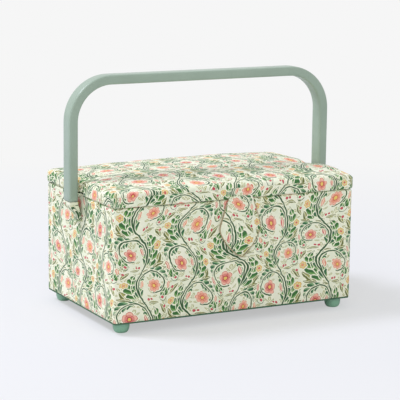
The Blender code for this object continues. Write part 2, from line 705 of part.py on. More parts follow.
def make_tongue(materials):
    """The padded tongue, the magnet in its back and the magnet in the front board."""
    outline = tongue_outline()

    def thickness(x, y):
        """Padding that fades out to the edges and to the sewn top."""
        top_fade = min(max((TONGUE_DROP - y) / TONGUE_DROP, 0), 1)
        below = min(y, 0) * TONGUE_END_RADIUS / TONGUE_POINT_DEPTH
        side = max(1 - math.hypot(x, below) / TONGUE_END_RADIUS, 0)
        fullness = min(TONGUE_FULLNESS_SHARE * math.sqrt(side * top_fade), 1)
        return TONGUE_EDGE_THICKNESS + (TONGUE_THICKNESS - TONGUE_EDGE_THICKNESS) * fullness

    rings = [level(outline, 0), level(outline, TONGUE_EDGE_THICKNESS)]
    rings += [raised(scaled(outline, share), thickness) for share in TONGUE_RING_SHARES]
    rings.append([Vector((0, 0, thickness(0, 0)))])
    place = Matrix.Translation((0, TONGUE_BACK_Y, 0)) @ toward_front(0, MAGNET_HEIGHT)
    tongue = make_object("tongue", loft(rings), materials["print"], place)
    recess_depth = MAGNET_THICKNESS + SEAT_GAP
    recess_radius = MAGNET_RADIUS + MAGNET_CLEARANCE
    recess_shape = turned(
        ((0, -CUT_OVERRUN), (recess_radius, -CUT_OVERRUN), (recess_radius, recess_depth), (0, recess_depth))
    )
    cut(tongue, make_object("tongue_recess", recess_shape, materials["steel"], place))
    disc = turned(((0, 0), (MAGNET_RADIUS, 0), (MAGNET_RADIUS, MAGNET_THICKNESS), (0, MAGNET_THICKNESS)))
    magnet = make_object("tongue_magnet", disc, materials["steel"], place)
    inner = BODY_HALF_Y - BOARD_INNER_INSET
    outer = BODY_HALF_Y - BOARD_INSET
    wall_disc = turned(((0, inner), (MAGNET_RADIUS, inner), (MAGNET_RADIUS, outer), (0, outer)))
    make_object("wall_magnet", wall_disc, materials["steel"], toward_front(0, MAGNET_HEIGHT))
    return [tongue, magnet]


def handle_stations():
    """Places along the handle from the left leg's end to the right one's, with the outward direction."""
    bend_x = HANDLE_HALF_SPAN - HANDLE_BEND_RADIUS
    bend_z = HANDLE_TOP - HANDLE_THICKNESS / 2 - HANDLE_BEND_RADIUS
    stations = [(-HANDLE_HALF_SPAN, HANDLE_LEG_END, math.pi)]
    quarter = math.pi / 2
    for centre_x, start in ((-bend_x, math.pi), (bend_x, quarter)):
        for step in range(BEND_STEPS + 1):
            turn = start - quarter * step / BEND_STEPS
            x = centre_x + HANDLE_BEND_RADIUS * math.cos(turn)
            z = bend_z + HANDLE_BEND_RADIUS * math.sin(turn)
            stations.append((x, z, turn))
    stations.append((HANDLE_HALF_SPAN, HANDLE_LEG_END, 0))
    return stations


def handle_ring(station, section):
    """One ring of the handle: the section set square to the path."""
    x, z, turn = station
    outward = Vector((math.cos(turn), 0, math.sin(turn)))
    middle = Vector((x, 0, z))
    return [middle + outward * across + Vector((0, along, 0)) for across, along in section]


def make_handle(materials):
    """The moulded bail with a socket in each leg."""
    section = rounded_rectangle(HANDLE_THICKNESS / 2, HANDLE_WIDTH / 2, HANDLE_EDGE_RADIUS)
    socket_x = HANDLE_THICKNESS / 2 - SOCKET_WALL
    socket_y = HANDLE_WIDTH / 2 - SOCKET_WALL
    socket = rounded_rectangle(socket_x, socket_y, SOCKET_CORNER_RADIUS)
    stations = handle_stations()
    rings = []
    deep = HANDLE_LEG_END + SOCKET_DEPTH
    first, last = stations[0], stations[-1]
    rings.append(handle_ring((first[0], deep, first[2]), socket))
    rings.append(handle_ring(first, socket))
    rings += [handle_ring(station, section) for station in stations]
    rings.append(handle_ring(last, socket))
    rings.append(handle_ring((last[0], deep, last[2]), socket))
    return make_object("handle", loft(rings), materials["handle"])


def strap_rings():
    """The right strap: a round foot on the wall, a lean out to the leg and a plug in its socket."""
    wall_face = BODY_HALF_X + SEAT_GAP + SPACER_THICKNESS + SEAT_GAP
    shoulder = HANDLE_LEG_END - SEAT_GAP
    leg_inner = HANDLE_HALF_SPAN - HANDLE_THICKNESS / 2 + SEAT_GAP
    leg_outer = HANDLE_HALF_SPAN + HANDLE_THICKNESS / 2 - SEAT_GAP

    def slice_at(height, half_width, lean):
        """One level slice, leaning from the wall face to the leg."""
        inner = wall_face + (leg_inner - wall_face) * lean
        foot_outer = wall_face + STRAP_FOOT_THICKNESS
        outer = foot_outer + (leg_outer - foot_outer) * lean
        radius = min(STRAP_EDGE_RADIUS, half_width / 2)
        outline = rounded_rectangle((outer - inner) / 2, half_width, radius)
        return [Vector((x + (inner + outer) / 2, y, height)) for x, y in outline]

    rings = []
    for share in STRAP_END_SHARES:
        turn = share * math.pi / 2
        height = PIVOT_HEIGHT - STRAP_HALF_WIDTH * math.cos(turn)
        rings.append(slice_at(height, STRAP_HALF_WIDTH * math.sin(turn), 0))
    for share in STRAP_LEAN_SHARES:
        height = PIVOT_HEIGHT + (shoulder - PIVOT_HEIGHT) * share
        smooth = share * share * (3 - 2 * share)
        rings.append(slice_at(height, STRAP_HALF_WIDTH, smooth))
    plug_x = HANDLE_THICKNESS / 2 - SOCKET_WALL - SEAT_GAP
    plug_y = HANDLE_WIDTH / 2 - SOCKET_WALL - SEAT_GAP
    plug = [(x + HANDLE_HALF_SPAN, y) for x, y in rounded_rectangle(plug_x, plug_y, SOCKET_CORNER_RADIUS)]
    rings.append(level(plug, shoulder))
    rings.append(level(plug, HANDLE_LEG_END + SOCKET_DEPTH - STRAP_PLUG_MARGIN))
    return rings


def make_handle_ends(materials):
    """Both straps with their rivets, which turn, and the washers, which stay on the wall."""
    turning = []
    wall_face = BODY_HALF_X + SEAT_GAP + SPACER_THICKNESS + SEAT_GAP
    inside_face = BODY_HALF_X - LINING_INNER_INSET - SEAT_GAP
    for side, sign in SIDES:
        half_turn = Matrix.Rotation(math.pi if sign < 0 else 0, 4, "Z")
        pivot = half_turn @ along_x(0, 0, PIVOT_HEIGHT)
        strap = make_object(side + "_strap", loft(strap_rings()), materials["print"], half_turn)
        bore_end = wall_face + STRAP_BORE_DEPTH
        bore_start = wall_face - CUT_OVERRUN
        bore_shape = turned(
            ((0, bore_start), (RIVET_HOLE_RADIUS, bore_start), (RIVET_HOLE_RADIUS, bore_end), (0, bore_end))
        )
        cut(strap, make_object(side + "_strap_bore", bore_shape, materials["steel"], pivot))
        head_outer = inside_face - WASHER_THICKNESS - SEAT_GAP
        head_inner = head_outer - RIVET_HEAD_THICKNESS
        rivet_shape = turned(
            (
                (0, head_inner),
                (RIVET_HEAD_RADIUS, head_inner),
                (RIVET_HEAD_RADIUS, head_outer),
                (RIVET_RADIUS, head_outer),
                (RIVET_RADIUS, bore_end - SEAT_GAP),
                (0, bore_end - SEAT_GAP),
            )
        )
        rivet = make_object(side + "_rivet", rivet_shape, materials["steel"], pivot)
        turning += [strap, rivet]
        spacer_start = BODY_HALF_X + SEAT_GAP
        washer_start = inside_face - WASHER_THICKNESS
        rings = (
            ("_spacer", spacer_start, SPACER_THICKNESS, SPACER_RADIUS),
            ("_washer", washer_start, WASHER_THICKNESS, WASHER_RADIUS),
        )
        for suffix, start, thick, radius in rings:
            profile = (
                (RIVET_HOLE_RADIUS, start),
                (radius, start),
                (radius, start + thick),
                (RIVET_HOLE_RADIUS, start + thick),
            )
            make_object(side + suffix, turned(profile, closed=True), materials["steel"], pivot)
    return turning


def make_materials():
    """Colours in linear light, near those of the real pieces."""
    return {
        "print": make_material("printed cloth", (0.60, 0.68, 0.50), 0.85),
        "lining": make_material("cream lining", (0.80, 0.76, 0.66), 0.80),
        "board": make_material("grey board", (0.42, 0.38, 0.33), 0.90),
        "base": make_material("green base board", (0.10, 0.22, 0.14), 0.60),
        "foot": make_material("green foot plastic", (0.12, 0.27, 0.19), 0.45),
        "steel": make_material("nickel-plated steel", (0.70, 0.70, 0.68), 0.30, 1.0),
        "tray": make_material("pale tray plastic", (0.72, 0.78, 0.70), 0.40),
        "foam": make_material("pad foam", (0.85, 0.83, 0.75), 0.95),
        "cushion": make_material("pincushion cloth", (0.30, 0.42, 0.30), 0.85),
        "handle": make_material("sage handle plastic", (0.34, 0.46, 0.37), 0.42),
    }


def build():
    """Make the whole box and set each moving group on its joint's axis."""
    clear_scene()
    materials = make_materials()
    make_base(materials)
    make_walls(materials)
    tray = make_ledges_and_tray(materials)
    lid = make_lid(materials) + make_lid_fittings(materials) + [make_hinge_strip(materials)]
    tongue = make_tongue(materials)
    turning = [make_handle(materials)] + make_handle_ends(materials)
    bpy.context.view_layer.update()
    lid_axis = make_axis("lid_hinge_axis", (0, HINGE_Y, HINGE_Z))
    tongue_axis = make_axis("tongue_axis", (0, TONGUE_AXIS_Y, HINGE_Z))
    handle_axis = make_axis("handle_axis", (0, 0, PIVOT_HEIGHT))
    tray_axis = make_axis("tray_axis", (0, 0, LEDGE_TOP + SEAT_GAP))
    carry(lid_axis, lid + [tongue_axis])
    carry(tongue_axis, tongue)
    carry(handle_axis, turning)
    carry(tray_axis, [tray])


build()
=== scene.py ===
"""Sewing box in printed cotton, with a padded lid, a closing tongue and a moulded bail handle."""

import math

import bmesh
import bpy
import numpy as np
from mathutils import Matrix, Quaternion, Vector, noise


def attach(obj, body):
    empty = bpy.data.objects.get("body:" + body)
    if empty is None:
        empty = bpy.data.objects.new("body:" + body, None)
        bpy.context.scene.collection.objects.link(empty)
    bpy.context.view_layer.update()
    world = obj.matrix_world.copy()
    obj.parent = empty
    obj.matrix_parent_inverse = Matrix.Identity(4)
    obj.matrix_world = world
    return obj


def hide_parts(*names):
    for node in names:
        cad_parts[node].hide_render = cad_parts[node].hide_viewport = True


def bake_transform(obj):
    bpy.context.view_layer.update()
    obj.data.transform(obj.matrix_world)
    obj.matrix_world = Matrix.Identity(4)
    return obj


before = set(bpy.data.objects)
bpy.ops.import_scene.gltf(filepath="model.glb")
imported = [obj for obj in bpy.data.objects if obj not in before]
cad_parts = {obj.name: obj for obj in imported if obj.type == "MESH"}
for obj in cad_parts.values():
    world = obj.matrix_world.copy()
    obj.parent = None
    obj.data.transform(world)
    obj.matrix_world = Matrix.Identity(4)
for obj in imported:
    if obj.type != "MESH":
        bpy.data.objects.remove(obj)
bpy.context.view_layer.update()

MM = 0.001
QUARTER = math.pi / 2

# Sizes in millimetres, as the box is built
BODY_X, BODY_Y = 130.0, 81.0
WALL_LOW, WALL_TOP = 11.8, 120.8
BODY_RADIUS = 3.4
CLOTH = 0.8
LIP = 4.7
LID_X, LID_Y = 131.3, 82.3
LID_LOW, LID_SIDE_TOP = 121.1, 134.6
LID_RISE = 7.8
LID_RADIUS = 6.2
LID_SEAT = 132.6
SHOULDER = 3.4
NOTCH_HALF, NOTCH_DEPTH, NOTCH_RADIUS = 10.4, 5.5, 1.6
HINGE_Y, HINGE_Z = 82.6, 120.95
TONGUE_BACK, TONGUE_DROP, TONGUE_POINT, TONGUE_RADIUS, TONGUE_TOP = -81.3, 29.0, 26.5, 22.0, 12.4
MAGNET_Z = WALL_TOP - TONGUE_DROP
TONGUE_HIGH = LID_LOW + 3.1
TONGUE_ASIDE = 2.0
HANDLE_X, HANDLE_TOP, LEG_END = 139.05, 236.5, 116.0
HANDLE_THICK, HANDLE_WIDE, HANDLE_BEND = 9.7, 16.4, 40.0
SOCKET_WALL, SOCKET_DEEP = 2.0, 24.0
PIVOT_Z = 102.5
FOOT_X, FOOT_Y = 117.2, 68.2


# Shader arithmetic

class Value:
    """A number, vector or colour that varies over a surface; arithmetic on it adds Math nodes."""

    def __init__(self, finish, socket):
        self.finish = finish
        self.socket = socket

    def sum_with(self, operation, *terms):
        return self.finish.add("ShaderNodeMath", terms, operation=operation)

    def __add__(self, other):
        return self.sum_with("ADD", self, other)

    def __sub__(self, other):
        return self.sum_with("SUBTRACT", self, other)

    def __rsub__(self, other):
        return self.sum_with("SUBTRACT", other, self)

    def __mul__(self, other):
        return self.sum_with("MULTIPLY", self, other)

    def __truediv__(self, other):
        return self.sum_with("DIVIDE", self, other)

    def __rtruediv__(self, other):
        return self.sum_with("DIVIDE", other, self)

    def __pow__(self, other):
        return self.sum_with("POWER", self, other)

    def __neg__(self):
        return self.sum_with("MULTIPLY", self, -1.0)

    def __abs__(self):
        return self.sum_with("ABSOLUTE", self)

    __radd__ = __add__
    __rmul__ = __mul__

    def sine(self):
        return self.sum_with("SINE", self)

    def cosine(self):
        return self.sum_with("COSINE", self)

    def least(self, other):
        return self.sum_with("MINIMUM", self, other)

    def most(self, other):
        return self.sum_with("MAXIMUM", self, other)

    def inside(self, edge=0.0, blur=0.16):
        """1 where the value is under the edge, 0 over it, with a soft border."""
        terms = {"Value": self, "From Min": edge - blur, "From Max": edge + blur, "To Min": 1.0, "To Max": 0.0}
        return self.finish.add("ShaderNodeMapRange", terms, interpolation_type="SMOOTHSTEP")

    def spread(self, low, high, start=0.0, end=1.0):
        """The value carried from one range onto another and held at its ends."""
        terms = {"Value": self, "From Min": low, "From Max": high, "To Min": start, "To Max": end}
        return self.finish.add("ShaderNodeMapRange", terms)


class Finish:
    """One material and the nodes that make it."""

    def __init__(self, name):
        self.material = bpy.data.materials.new(name)
        self.material.use_nodes = True
        self.tree = self.material.node_tree
        self.shader = self.tree.nodes["Principled BSDF"]

    def add(self, kind, terms=(), out=0, **settings):
        """A node of any kind: its settings first, then the values or links of its sockets."""
        node = self.tree.nodes.new(kind)
        stops = settings.pop("stops", None)
        for key, setting in settings.items():
            setattr(node, key, setting)
        if stops:
            ramp = node.color_ramp
            while len(ramp.elements) < len(stops):
                ramp.elements.new(1.0)
            for element, (at, colour) in zip(ramp.elements, stops):
                element.position = at
                element.color = colour
        for key, term in terms.items() if isinstance(terms, dict) else enumerate(terms):
            if isinstance(term, Value):
                self.tree.links.new(term.socket, node.inputs[key])
            else:
                node.inputs[key].default_value = term
        return Value(self, node.outputs[out])

    def vector(self, operation, *terms, out=0):
        return self.add("ShaderNodeVectorMath", terms, out, operation=operation)

    def mix(self, share, first, second):
        """First colour where the share is 0, second where it is 1."""
        return self.add("ShaderNodeMix", {0: share, 6: first, 7: second}, 2, data_type="RGBA")

    def clouds(self, place, scale, detail=2.0, roughness=0.5):
        terms = {"Vector": place, "Scale": scale, "Detail": detail, "Roughness": roughness}
        return self.add("ShaderNodeTexNoise", terms)

    def on_cloth(self):
        """Place on the flat cloth, in millimetres."""
        flat = self.add("ShaderNodeUVMap", uv_map="cloth")
        return self.vector("SCALE", flat, (0, 0, 0), (0, 0, 0), 1 / MM)

    def in_space(self):
        """Place in the piece, in millimetres."""
        place = self.add("ShaderNodeTexCoord", out=3)
        return self.vector("SCALE", place, (0, 0, 0), (0, 0, 0), 1 / MM)

    def split(self, place):
        parts = self.add("ShaderNodeSeparateXYZ", (place,)).socket.node
        return [Value(self, socket) for socket in parts.outputs]

    def relief(self, height, depth, strength=1.0):
        """Bump from a height of 0 to 1 that stands for a depth in millimetres."""
        terms = {"Strength": strength, "Distance": depth * MM, "Height": height}
        self.tree.links.new(self.add("ShaderNodeBump", terms).socket, self.shader.inputs["Normal"])

    def paint(self, **sockets):
        """Set or link the shader's own sockets, named with underscores for spaces."""
        for key, term in sockets.items():
            socket = self.shader.inputs[key.replace("_", " ")]
            if isinstance(term, Value):
                self.tree.links.new(term.socket, socket)
            else:
                socket.default_value = term


def ink(red, green, blue):
    """Linear colour from the 0 to 255 values a dye is matched by."""
    def linear(part):
        part /= 255
        return part / 12.92 if part <= 0.04045 else ((part + 0.055) / 1.055) ** 2.4
    return (linear(red), linear(green), linear(blue), 1.0)


BACKDROP = ink(246, 246, 246)

# The printed cotton: a generic scrolling floral on waving stems; each row mirrors the one below it

COLUMN, ROW = 50.0, 34.0
GROUND, GROUND_SHADE = ink(242, 241, 214), ink(230, 235, 204)
STEM_GREEN, LEAF_DEEP, LEAF_MID = ink(48, 88, 46), ink(52, 108, 46), ink(110, 160, 80)
TEAL_DEEP, TEAL_MID = ink(52, 104, 64), ink(126, 168, 114)
OLIVE_DEEP, OLIVE_MID, SPRIG = ink(98, 108, 46), ink(168, 166, 92), ink(176, 190, 138)
CREAM = ink(246, 246, 214)
ROSE, ROSE_DARK, BLUSH = ink(214, 90, 94), ink(176, 52, 64), ink(246, 190, 162)
PEACH, PEACH_DARK = ink(242, 164, 120), ink(214, 104, 72)
YELLOW, YELLOW_DARK = ink(238, 204, 104), ink(200, 146, 60)
SLATE, SLATE_DARK = ink(168, 188, 190), ink(98, 130, 128)


def sprig_place(finish, x, y, at_x, at_y, width, height):
    """Place seen from the middle of the nearest sprig, mirrored left to right."""
    across = abs(x.sum_with("WRAP", x - at_x, width / 2, -width / 2))
    along = y.sum_with("WRAP", y - at_y, height / 2, -height / 2)
    return finish.add("ShaderNodeCombineXYZ", (across, along))


def scroll_place(finish, x, y):
    """Place seen from the middle of the nearest scroll, and 0 or 1 for the way it turns."""
    column = x.sum_with("FLOOR", x / COLUMN + 0.5)
    y = y + column * (ROW / 2)
    row = y.sum_with("FLOOR", y / ROW)
    turned = row.sum_with("FLOORED_MODULO", row, 2.0)
    across = (x - column * COLUMN) * (turned * -2.0 + 1.0)
    return across, y - row * ROW - ROW / 2, turned


class Leaves:
    """Leaves and petals drawn as two arcs between their tips, gathered into one shape."""

    def __init__(self, finish, place):
        self.finish = finish
        self.place = place
        self.body = None
        self.shaded = None
        self.vein = None

    def gather(self, old, new):
        return new if old is None else old.least(new)

    def leaf(self, tip, end, left, right):
        """One leaf from tip to end; left and right are how far each side swells."""
        (x0, y0), (x1, y1) = tip, end
        length = math.hypot(x1 - x0, y1 - y0)
        normal = ((y0 - y1) / length, (x1 - x0) / length)
        sides = []
        for swell, sign in ((left, 1), (right, -1)):
            radius = (length ** 2 / 4 + swell ** 2) / (2 * swell)
            back = sign * (radius - swell)
            centre = ((x0 + x1) / 2 - normal[0] * back, (y0 + y1) / 2 - normal[1] * back, 0)
            sides.append(self.finish.vector("DISTANCE", self.place, centre, out=1) - radius)
        body = sides[0].most(sides[1])
        lean = sides[0] - sides[1]
        self.body = self.gather(self.body, body)
        self.shaded = self.gather(self.shaded, (lean + 0.3).most(body + 0.55))
        self.vein = self.gather(self.vein, (abs(lean) - 0.42).most(body + 0.4))

    def colour(self, under, light, dark, vein, outline, halo=None):
        """The leaves laid over the colour beneath them, with a pale edge round them where asked."""
        finish = self.finish
        top = finish.mix(self.shaded.inside(), light, dark)
        top = finish.mix(self.vein.inside(), top, vein)
        top = finish.mix(self.body.inside(-0.42), outline, top)
        if halo:
            under = finish.mix(self.body.inside(0.75), under, halo)
        return finish.mix(self.body.inside(), under, top)


def coil(finish, place, centre, radii, start, sweep):
    """Share of the way along an arc or spiral, distance from it, and its length in millimetres."""
    place = finish.vector("SUBTRACT", place, (*centre, 0))
    x, y, _ = finish.split(place)
    turn = y.sum_with("ARCTAN2", y, x) - math.radians(start)
    turn = turn if sweep > 0 else -turn
    sweep = abs(math.radians(sweep))
    run = turn.sum_with("WRAP", turn, math.tau - 0.3, -0.3).spread(0.0, sweep)
    away = abs(finish.vector("LENGTH", place, out=1) - run * (radii[1] - radii[0]) - radii[0])
    return run, away, sweep * (radii[0] + radii[1]) / 2


def frond(finish, place, under, centre, radii, start, sweep, width, leaflets, light, dark):
    """A lobed frond along a spiral, its leaflets slanted to the tip, laid over the colour beneath it."""
    run, away, length = coil(finish, place, centre, radii, start, sweep)
    swell = (run ** 0.72 * math.pi).sine() * (width + 1.1) - 1.1
    phase = run * leaflets - away * (0.75 * leaflets / length) + 8.0
    tooth = phase.sum_with("FRACT", phase)
    body = away - swell * ((tooth * math.pi).sine() * 0.4 + 0.6)
    stops = ((0.0, CREAM), (0.08, CREAM), (0.16, light), (0.38, light), (0.48, dark), (0.90, dark), (0.98, CREAM))
    top = finish.add("ShaderNodeValToRGB", (tooth,), stops=stops)
    top = finish.mix((away - 0.35).inside(), top, CREAM)
    top = finish.mix(body.inside(-0.35), STEM_GREEN, top)
    under = finish.mix(body.inside(0.75), under, CREAM)
    return finish.mix(body.inside(), under, top)


def rosette(finish, place, under, centre, radius, petals, colours):
    """A round flower of notched petals with a ringed heart, laid over the colour beneath it."""
    petal, deep, outline, heart, heart_ring = colours
    place = finish.vector("SUBTRACT", place, (*centre, 0))
    x, y, _ = finish.split(place)
    angle = y.sum_with("ARCTAN2", x, y) * (petals / 2)
    far = finish.vector("LENGTH", place, out=1)
    swing = abs(angle.cosine())
    rim = far - (swing ** 0.45 * (0.34 * radius) + 0.66 * radius)
    top = finish.mix((far / radius).spread(0.30, 0.80), deep, petal)
    top = finish.mix((swing * far - 0.42).inside(), top, outline)
    top = finish.mix(rim.inside(-0.45), outline, top)
    ring = abs(far - 0.55 * radius) - 0.2
    top = finish.mix(ring.inside() * 0.55, top, outline)
    top = finish.mix((far - 0.36 * radius).inside(), top, heart_ring)
    top = finish.mix((far - 0.24 * radius).inside(), top, heart)
    under = finish.mix(rim.inside(0.7), under, CREAM)
    return finish.mix(rim.inside(), under, top)


def dots(finish, place, spots):
    """Round berries gathered into one shape."""
    shape = None
    for x, y, radius in spots:
        spot = finish.vector("DISTANCE", place, (x, y, 0), out=1) - radius
        shape = spot if shape is None else shape.least(spot)
    return shape


def printed_cotton(name):
    """The cloth of the walls, lid, tongue, straps and hinge."""
    finish = Finish(name)
    flat = finish.on_cloth()
    sway = finish.add("ShaderNodeTexNoise", {"Vector": flat, "Scale": 0.02, "Detail": 0.0}, 1)
    shake = finish.add("ShaderNodeTexNoise", {"Vector": flat, "Scale": 0.15, "Detail": 1.0}, 1)
    sway = finish.vector("MULTIPLY", finish.vector("SUBTRACT", sway, (0.5, 0.5, 0.5)), (22.0, 22.0, 0.0))
    shake = finish.vector("MULTIPLY", finish.vector("SUBTRACT", shake, (0.5, 0.5, 0.5)), (2.4, 2.4, 0.0))
    x, y, _ = finish.split(finish.vector("ADD", flat, finish.vector("ADD", sway, shake)))
    drift = finish.clouds(flat, 0.028, 1.0)

    colour = finish.mix(finish.clouds(flat, 0.05).spread(0.35, 0.65), GROUND, GROUND_SHADE)
    fill = Leaves(finish, sprig_place(finish, x, y, 3.0, 4.0, 14.667, 12.0))
    fill.leaf((0.4, -1.0), (4.6, 3.4), 1.0, 0.7)
    fill.leaf((0.4, -4.2), (5.2, -3.0), 0.7, 1.0)
    fill.leaf((0.0, 1.0), (0.6, 5.4), 0.9, 0.9)
    colour = fill.colour(colour, SPRIG, OLIVE_MID, CREAM, OLIVE_MID)

    across, along, turned = scroll_place(finish, x, y)
    place = finish.add("ShaderNodeCombineXYZ", (across, along))
    _, away, _ = coil(finish, place, (-18.5, -11.5), (5.5, 1.2), 100, 330)
    colour = finish.mix((away - 0.30).inside(), colour, STEM_GREEN)

    slender = Leaves(finish, place)
    for tip, end, left, right in (
        ((15.5, -16.0), (23.5, -6.0), 1.6, 2.4),
        ((12.0, -16.4), (24.2, -14.0), 1.5, 1.5),
        ((16.0, 16.2), (24.2, 7.0), 2.3, 1.4),
        ((-24.4, 15.6), (-15.0, 16.2), 1.2, 1.8),
        ((-15.0, -16.3), (-4.0, -16.0), 1.5, 1.0),
        ((2.0, 13.5), (-6.0, 16.4), 1.0, 1.5),
    ):
        slender.leaf(tip, end, left, right)
    colour = slender.colour(colour, OLIVE_MID, OLIVE_DEEP, CREAM, OLIVE_DEEP, CREAM)

    eye = (-10.0, 0.5)
    colour = frond(finish, place, colour, (-3.5, 0.0), (19.0, 19.0), -54, 110, 6.2, 6, LEAF_MID, LEAF_DEEP)
    colour = frond(finish, place, colour, eye, (14.2, 13.2), 78, 98, 5.6, 5, TEAL_MID, TEAL_DEEP)
    colour = frond(finish, place, colour, eye, (11.0, 13.6), 172, 84, 5.6, 4, LEAF_MID, LEAF_DEEP)
    colour = frond(finish, place, colour, eye, (19.2, 14.6), -50, 122, 6.2, 6, LEAF_MID, TEAL_DEEP)

    _, away, _ = coil(finish, place, eye, (19.8, 7.2), -56, 310)
    stem = (away - 0.15).least(abs(across - (along * (math.pi / ROW)).cosine() * 10.0) - 0.4)
    colour = finish.mix((stem - 1.1).inside(), colour, CREAM)
    colour = finish.mix((stem - 0.45).inside(), colour, STEM_GREEN)

    warm = turned * 0.7 + drift.spread(0.42, 0.58, 0.0, 0.3)
    petal = finish.mix(warm, ROSE, PEACH)
    deep = finish.mix(warm, ROSE_DARK, PEACH_DARK)
    colour = rosette(finish, place, colour, eye, 6.4, turned * 3.0 + 5.0, (BLUSH, petal, deep, YELLOW, deep))
    colour = rosette(finish, place, colour, (21.2, 0.2), 3.6, 6, (YELLOW, CREAM, YELLOW_DARK, petal, YELLOW_DARK))

    bud = Leaves(finish, place)
    bud.leaf((-24.0, 3.0), (-23.2, -4.2), 1.2, 1.7)
    bud.leaf((2.2, 5.6), (4.4, -3.0), 1.7, 1.5)
    colour = bud.colour(colour, BLUSH, petal, CREAM, deep, CREAM)

    fruit = dots(finish, place, ((-4.0, -13.2, 1.3), (-7.0, -12.6, 1.1), (21.8, 13.6, 1.3), (-18.5, -11.5, 1.3)))
    colour = finish.mix(fruit.inside(0.4), colour, CREAM)
    colour = finish.mix(fruit.inside(), colour, finish.mix(fruit.inside(-0.6), ROSE_DARK, ROSE))

    warp, weft, _ = finish.split(finish.vector("SCALE", flat, (0, 0, 0), (0, 0, 0), math.tau / 0.62))
    weave = warp.sine() * weft.sine() * 0.5 + 0.5
    slub = finish.clouds(finish.vector("MULTIPLY", flat, (0.25, 2.4, 1.0)), 1.0, 3.0)
    # The weave term is painted shade in the weave's hollows; the slub term is the yarn's own uneven tone
    yarn_tone_and_weave_shade = weave * 0.05 + slub.spread(0.3, 0.7, 0.90, 1.0)
    colour = finish.vector("SCALE", colour, (0, 0, 0), (0, 0, 0), yarn_tone_and_weave_shade)
    finish.paint(Base_Color=colour, Roughness=slub.spread(0.3, 0.7, 0.72, 0.86), Sheen_Weight=0.12)
    finish.relief(weave * 0.6 + slub * 0.4, 0.10, 0.35)
    return finish.material


# Plain materials

def plain_cloth(name, base, shade, pitch=0.7, depth=0.16):
    """Plain woven cotton with slubs and faint rubbing."""
    finish = Finish(name)
    flat = finish.on_cloth()
    warp, weft, _ = finish.split(finish.vector("SCALE", flat, (0, 0, 0), (0, 0, 0), math.tau / pitch))
    weave = warp.sine() * weft.sine() * 0.5 + 0.5
    slub = finish.clouds(finish.vector("MULTIPLY", flat, (0.2, 1.6, 1.0)), 1.0, 3.0)
    worn = finish.clouds(flat, 0.035, 3.0)
    share = slub.spread(0.3, 0.7, 0.0, 0.5) + worn.spread(0.35, 0.65, 0.0, 0.5)
    finish.paint(Base_Color=finish.mix(share, base, shade), Roughness=weave.spread(0, 1, 0.88, 0.78), Sheen_Weight=0.15)
    finish.relief(weave * 0.6 + slub * 0.4, depth, 0.5)
    return finish.material


def moulded(name, base, shade, roughness, grain=1.2):
    """Satin moulded plastic with a fine pebbled skin and slight mottling."""
    finish = Finish(name)
    place = finish.in_space()
    mottle = finish.clouds(place, 0.03, 3.0)
    pebble = finish.clouds(place, grain, 2.0)
    scuff = finish.clouds(finish.vector("MULTIPLY", place, (0.5, 0.5, 0.06)), 1.0, 4.0)
    colour = finish.mix(mottle.spread(0.35, 0.65), base, shade)
    gloss = scuff.spread(0.35, 0.7, roughness - 0.05, roughness + 0.08) + pebble * 0.04
    finish.paint(Base_Color=colour, Roughness=gloss, Specular_IOR_Level=0.45)
    finish.relief(pebble, 0.10, 0.25)
    return finish.material


def board(name, base, fleck):
    """Pressed grey board: mottled fibres on a dull face."""
    finish = Finish(name)
    place = finish.in_space()
    fibre = finish.clouds(finish.vector("MULTIPLY", place, (0.7, 0.7, 1.6)), 1.0, 5.0, 0.7)
    spot = finish.clouds(place, 2.2, 2.0)
    share = fibre.spread(0.4, 0.62, 0.0, 0.7) + spot.spread(0.62, 0.72, 0.0, 0.3)
    finish.paint(Base_Color=finish.mix(share, base, fleck), Roughness=fibre.spread(0.3, 0.7, 0.82, 0.95))
    finish.relief(fibre, 0.15, 0.4)
    return finish.material


def plated(name, base, roughness):
    """Nickel-plated steel with turned rings worn fine."""
    finish = Finish(name)
    place = finish.in_space()
    wear = finish.clouds(place, 0.9, 4.0)
    fine = finish.clouds(finish.vector("MULTIPLY", place, (3.0, 3.0, 12.0)), 1.0, 2.0)
    gloss = wear.spread(0.35, 0.7, roughness, roughness + 0.14) + fine * 0.05
    finish.paint(Base_Color=finish.mix(wear.spread(0.4, 0.7), base, ink(150, 148, 140)), Roughness=gloss, Metallic=1.0)
    finish.relief(fine, 0.04, 0.3)
    return finish.material


# Forms

def arc(centre, radius, start, end, steps):
    """Points on an arc, both ends included."""
    turns = np.linspace(start, end, steps + 1)
    return [(centre[0] + radius * math.cos(t), centre[1] + radius * math.sin(t)) for t in turns]


def between(first, last, steps):
    """Points on a straight run, without its ends."""
    return [tuple(np.array(first) + (np.array(last) - np.array(first)) * s / steps) for s in range(1, steps)]


def rounded_plan(half_x, half_y, radius, corner=8, long_steps=44, short_steps=28):
    """Anticlockwise outline with round corners and evenly divided sides."""
    outline = []
    for number, (side_x, side_y) in enumerate(((1, 1), (-1, 1), (-1, -1), (1, -1))):
        centre = (side_x * (half_x - radius), side_y * (half_y - radius))
        bend = arc(centre, radius, number * QUARTER, (number + 1) * QUARTER, corner)
        if outline:
            outline += between(outline[-1], bend[0], long_steps if number % 2 else short_steps)
        outline += bend
    return np.array(outline + between(outline[-1], outline[0], short_steps))


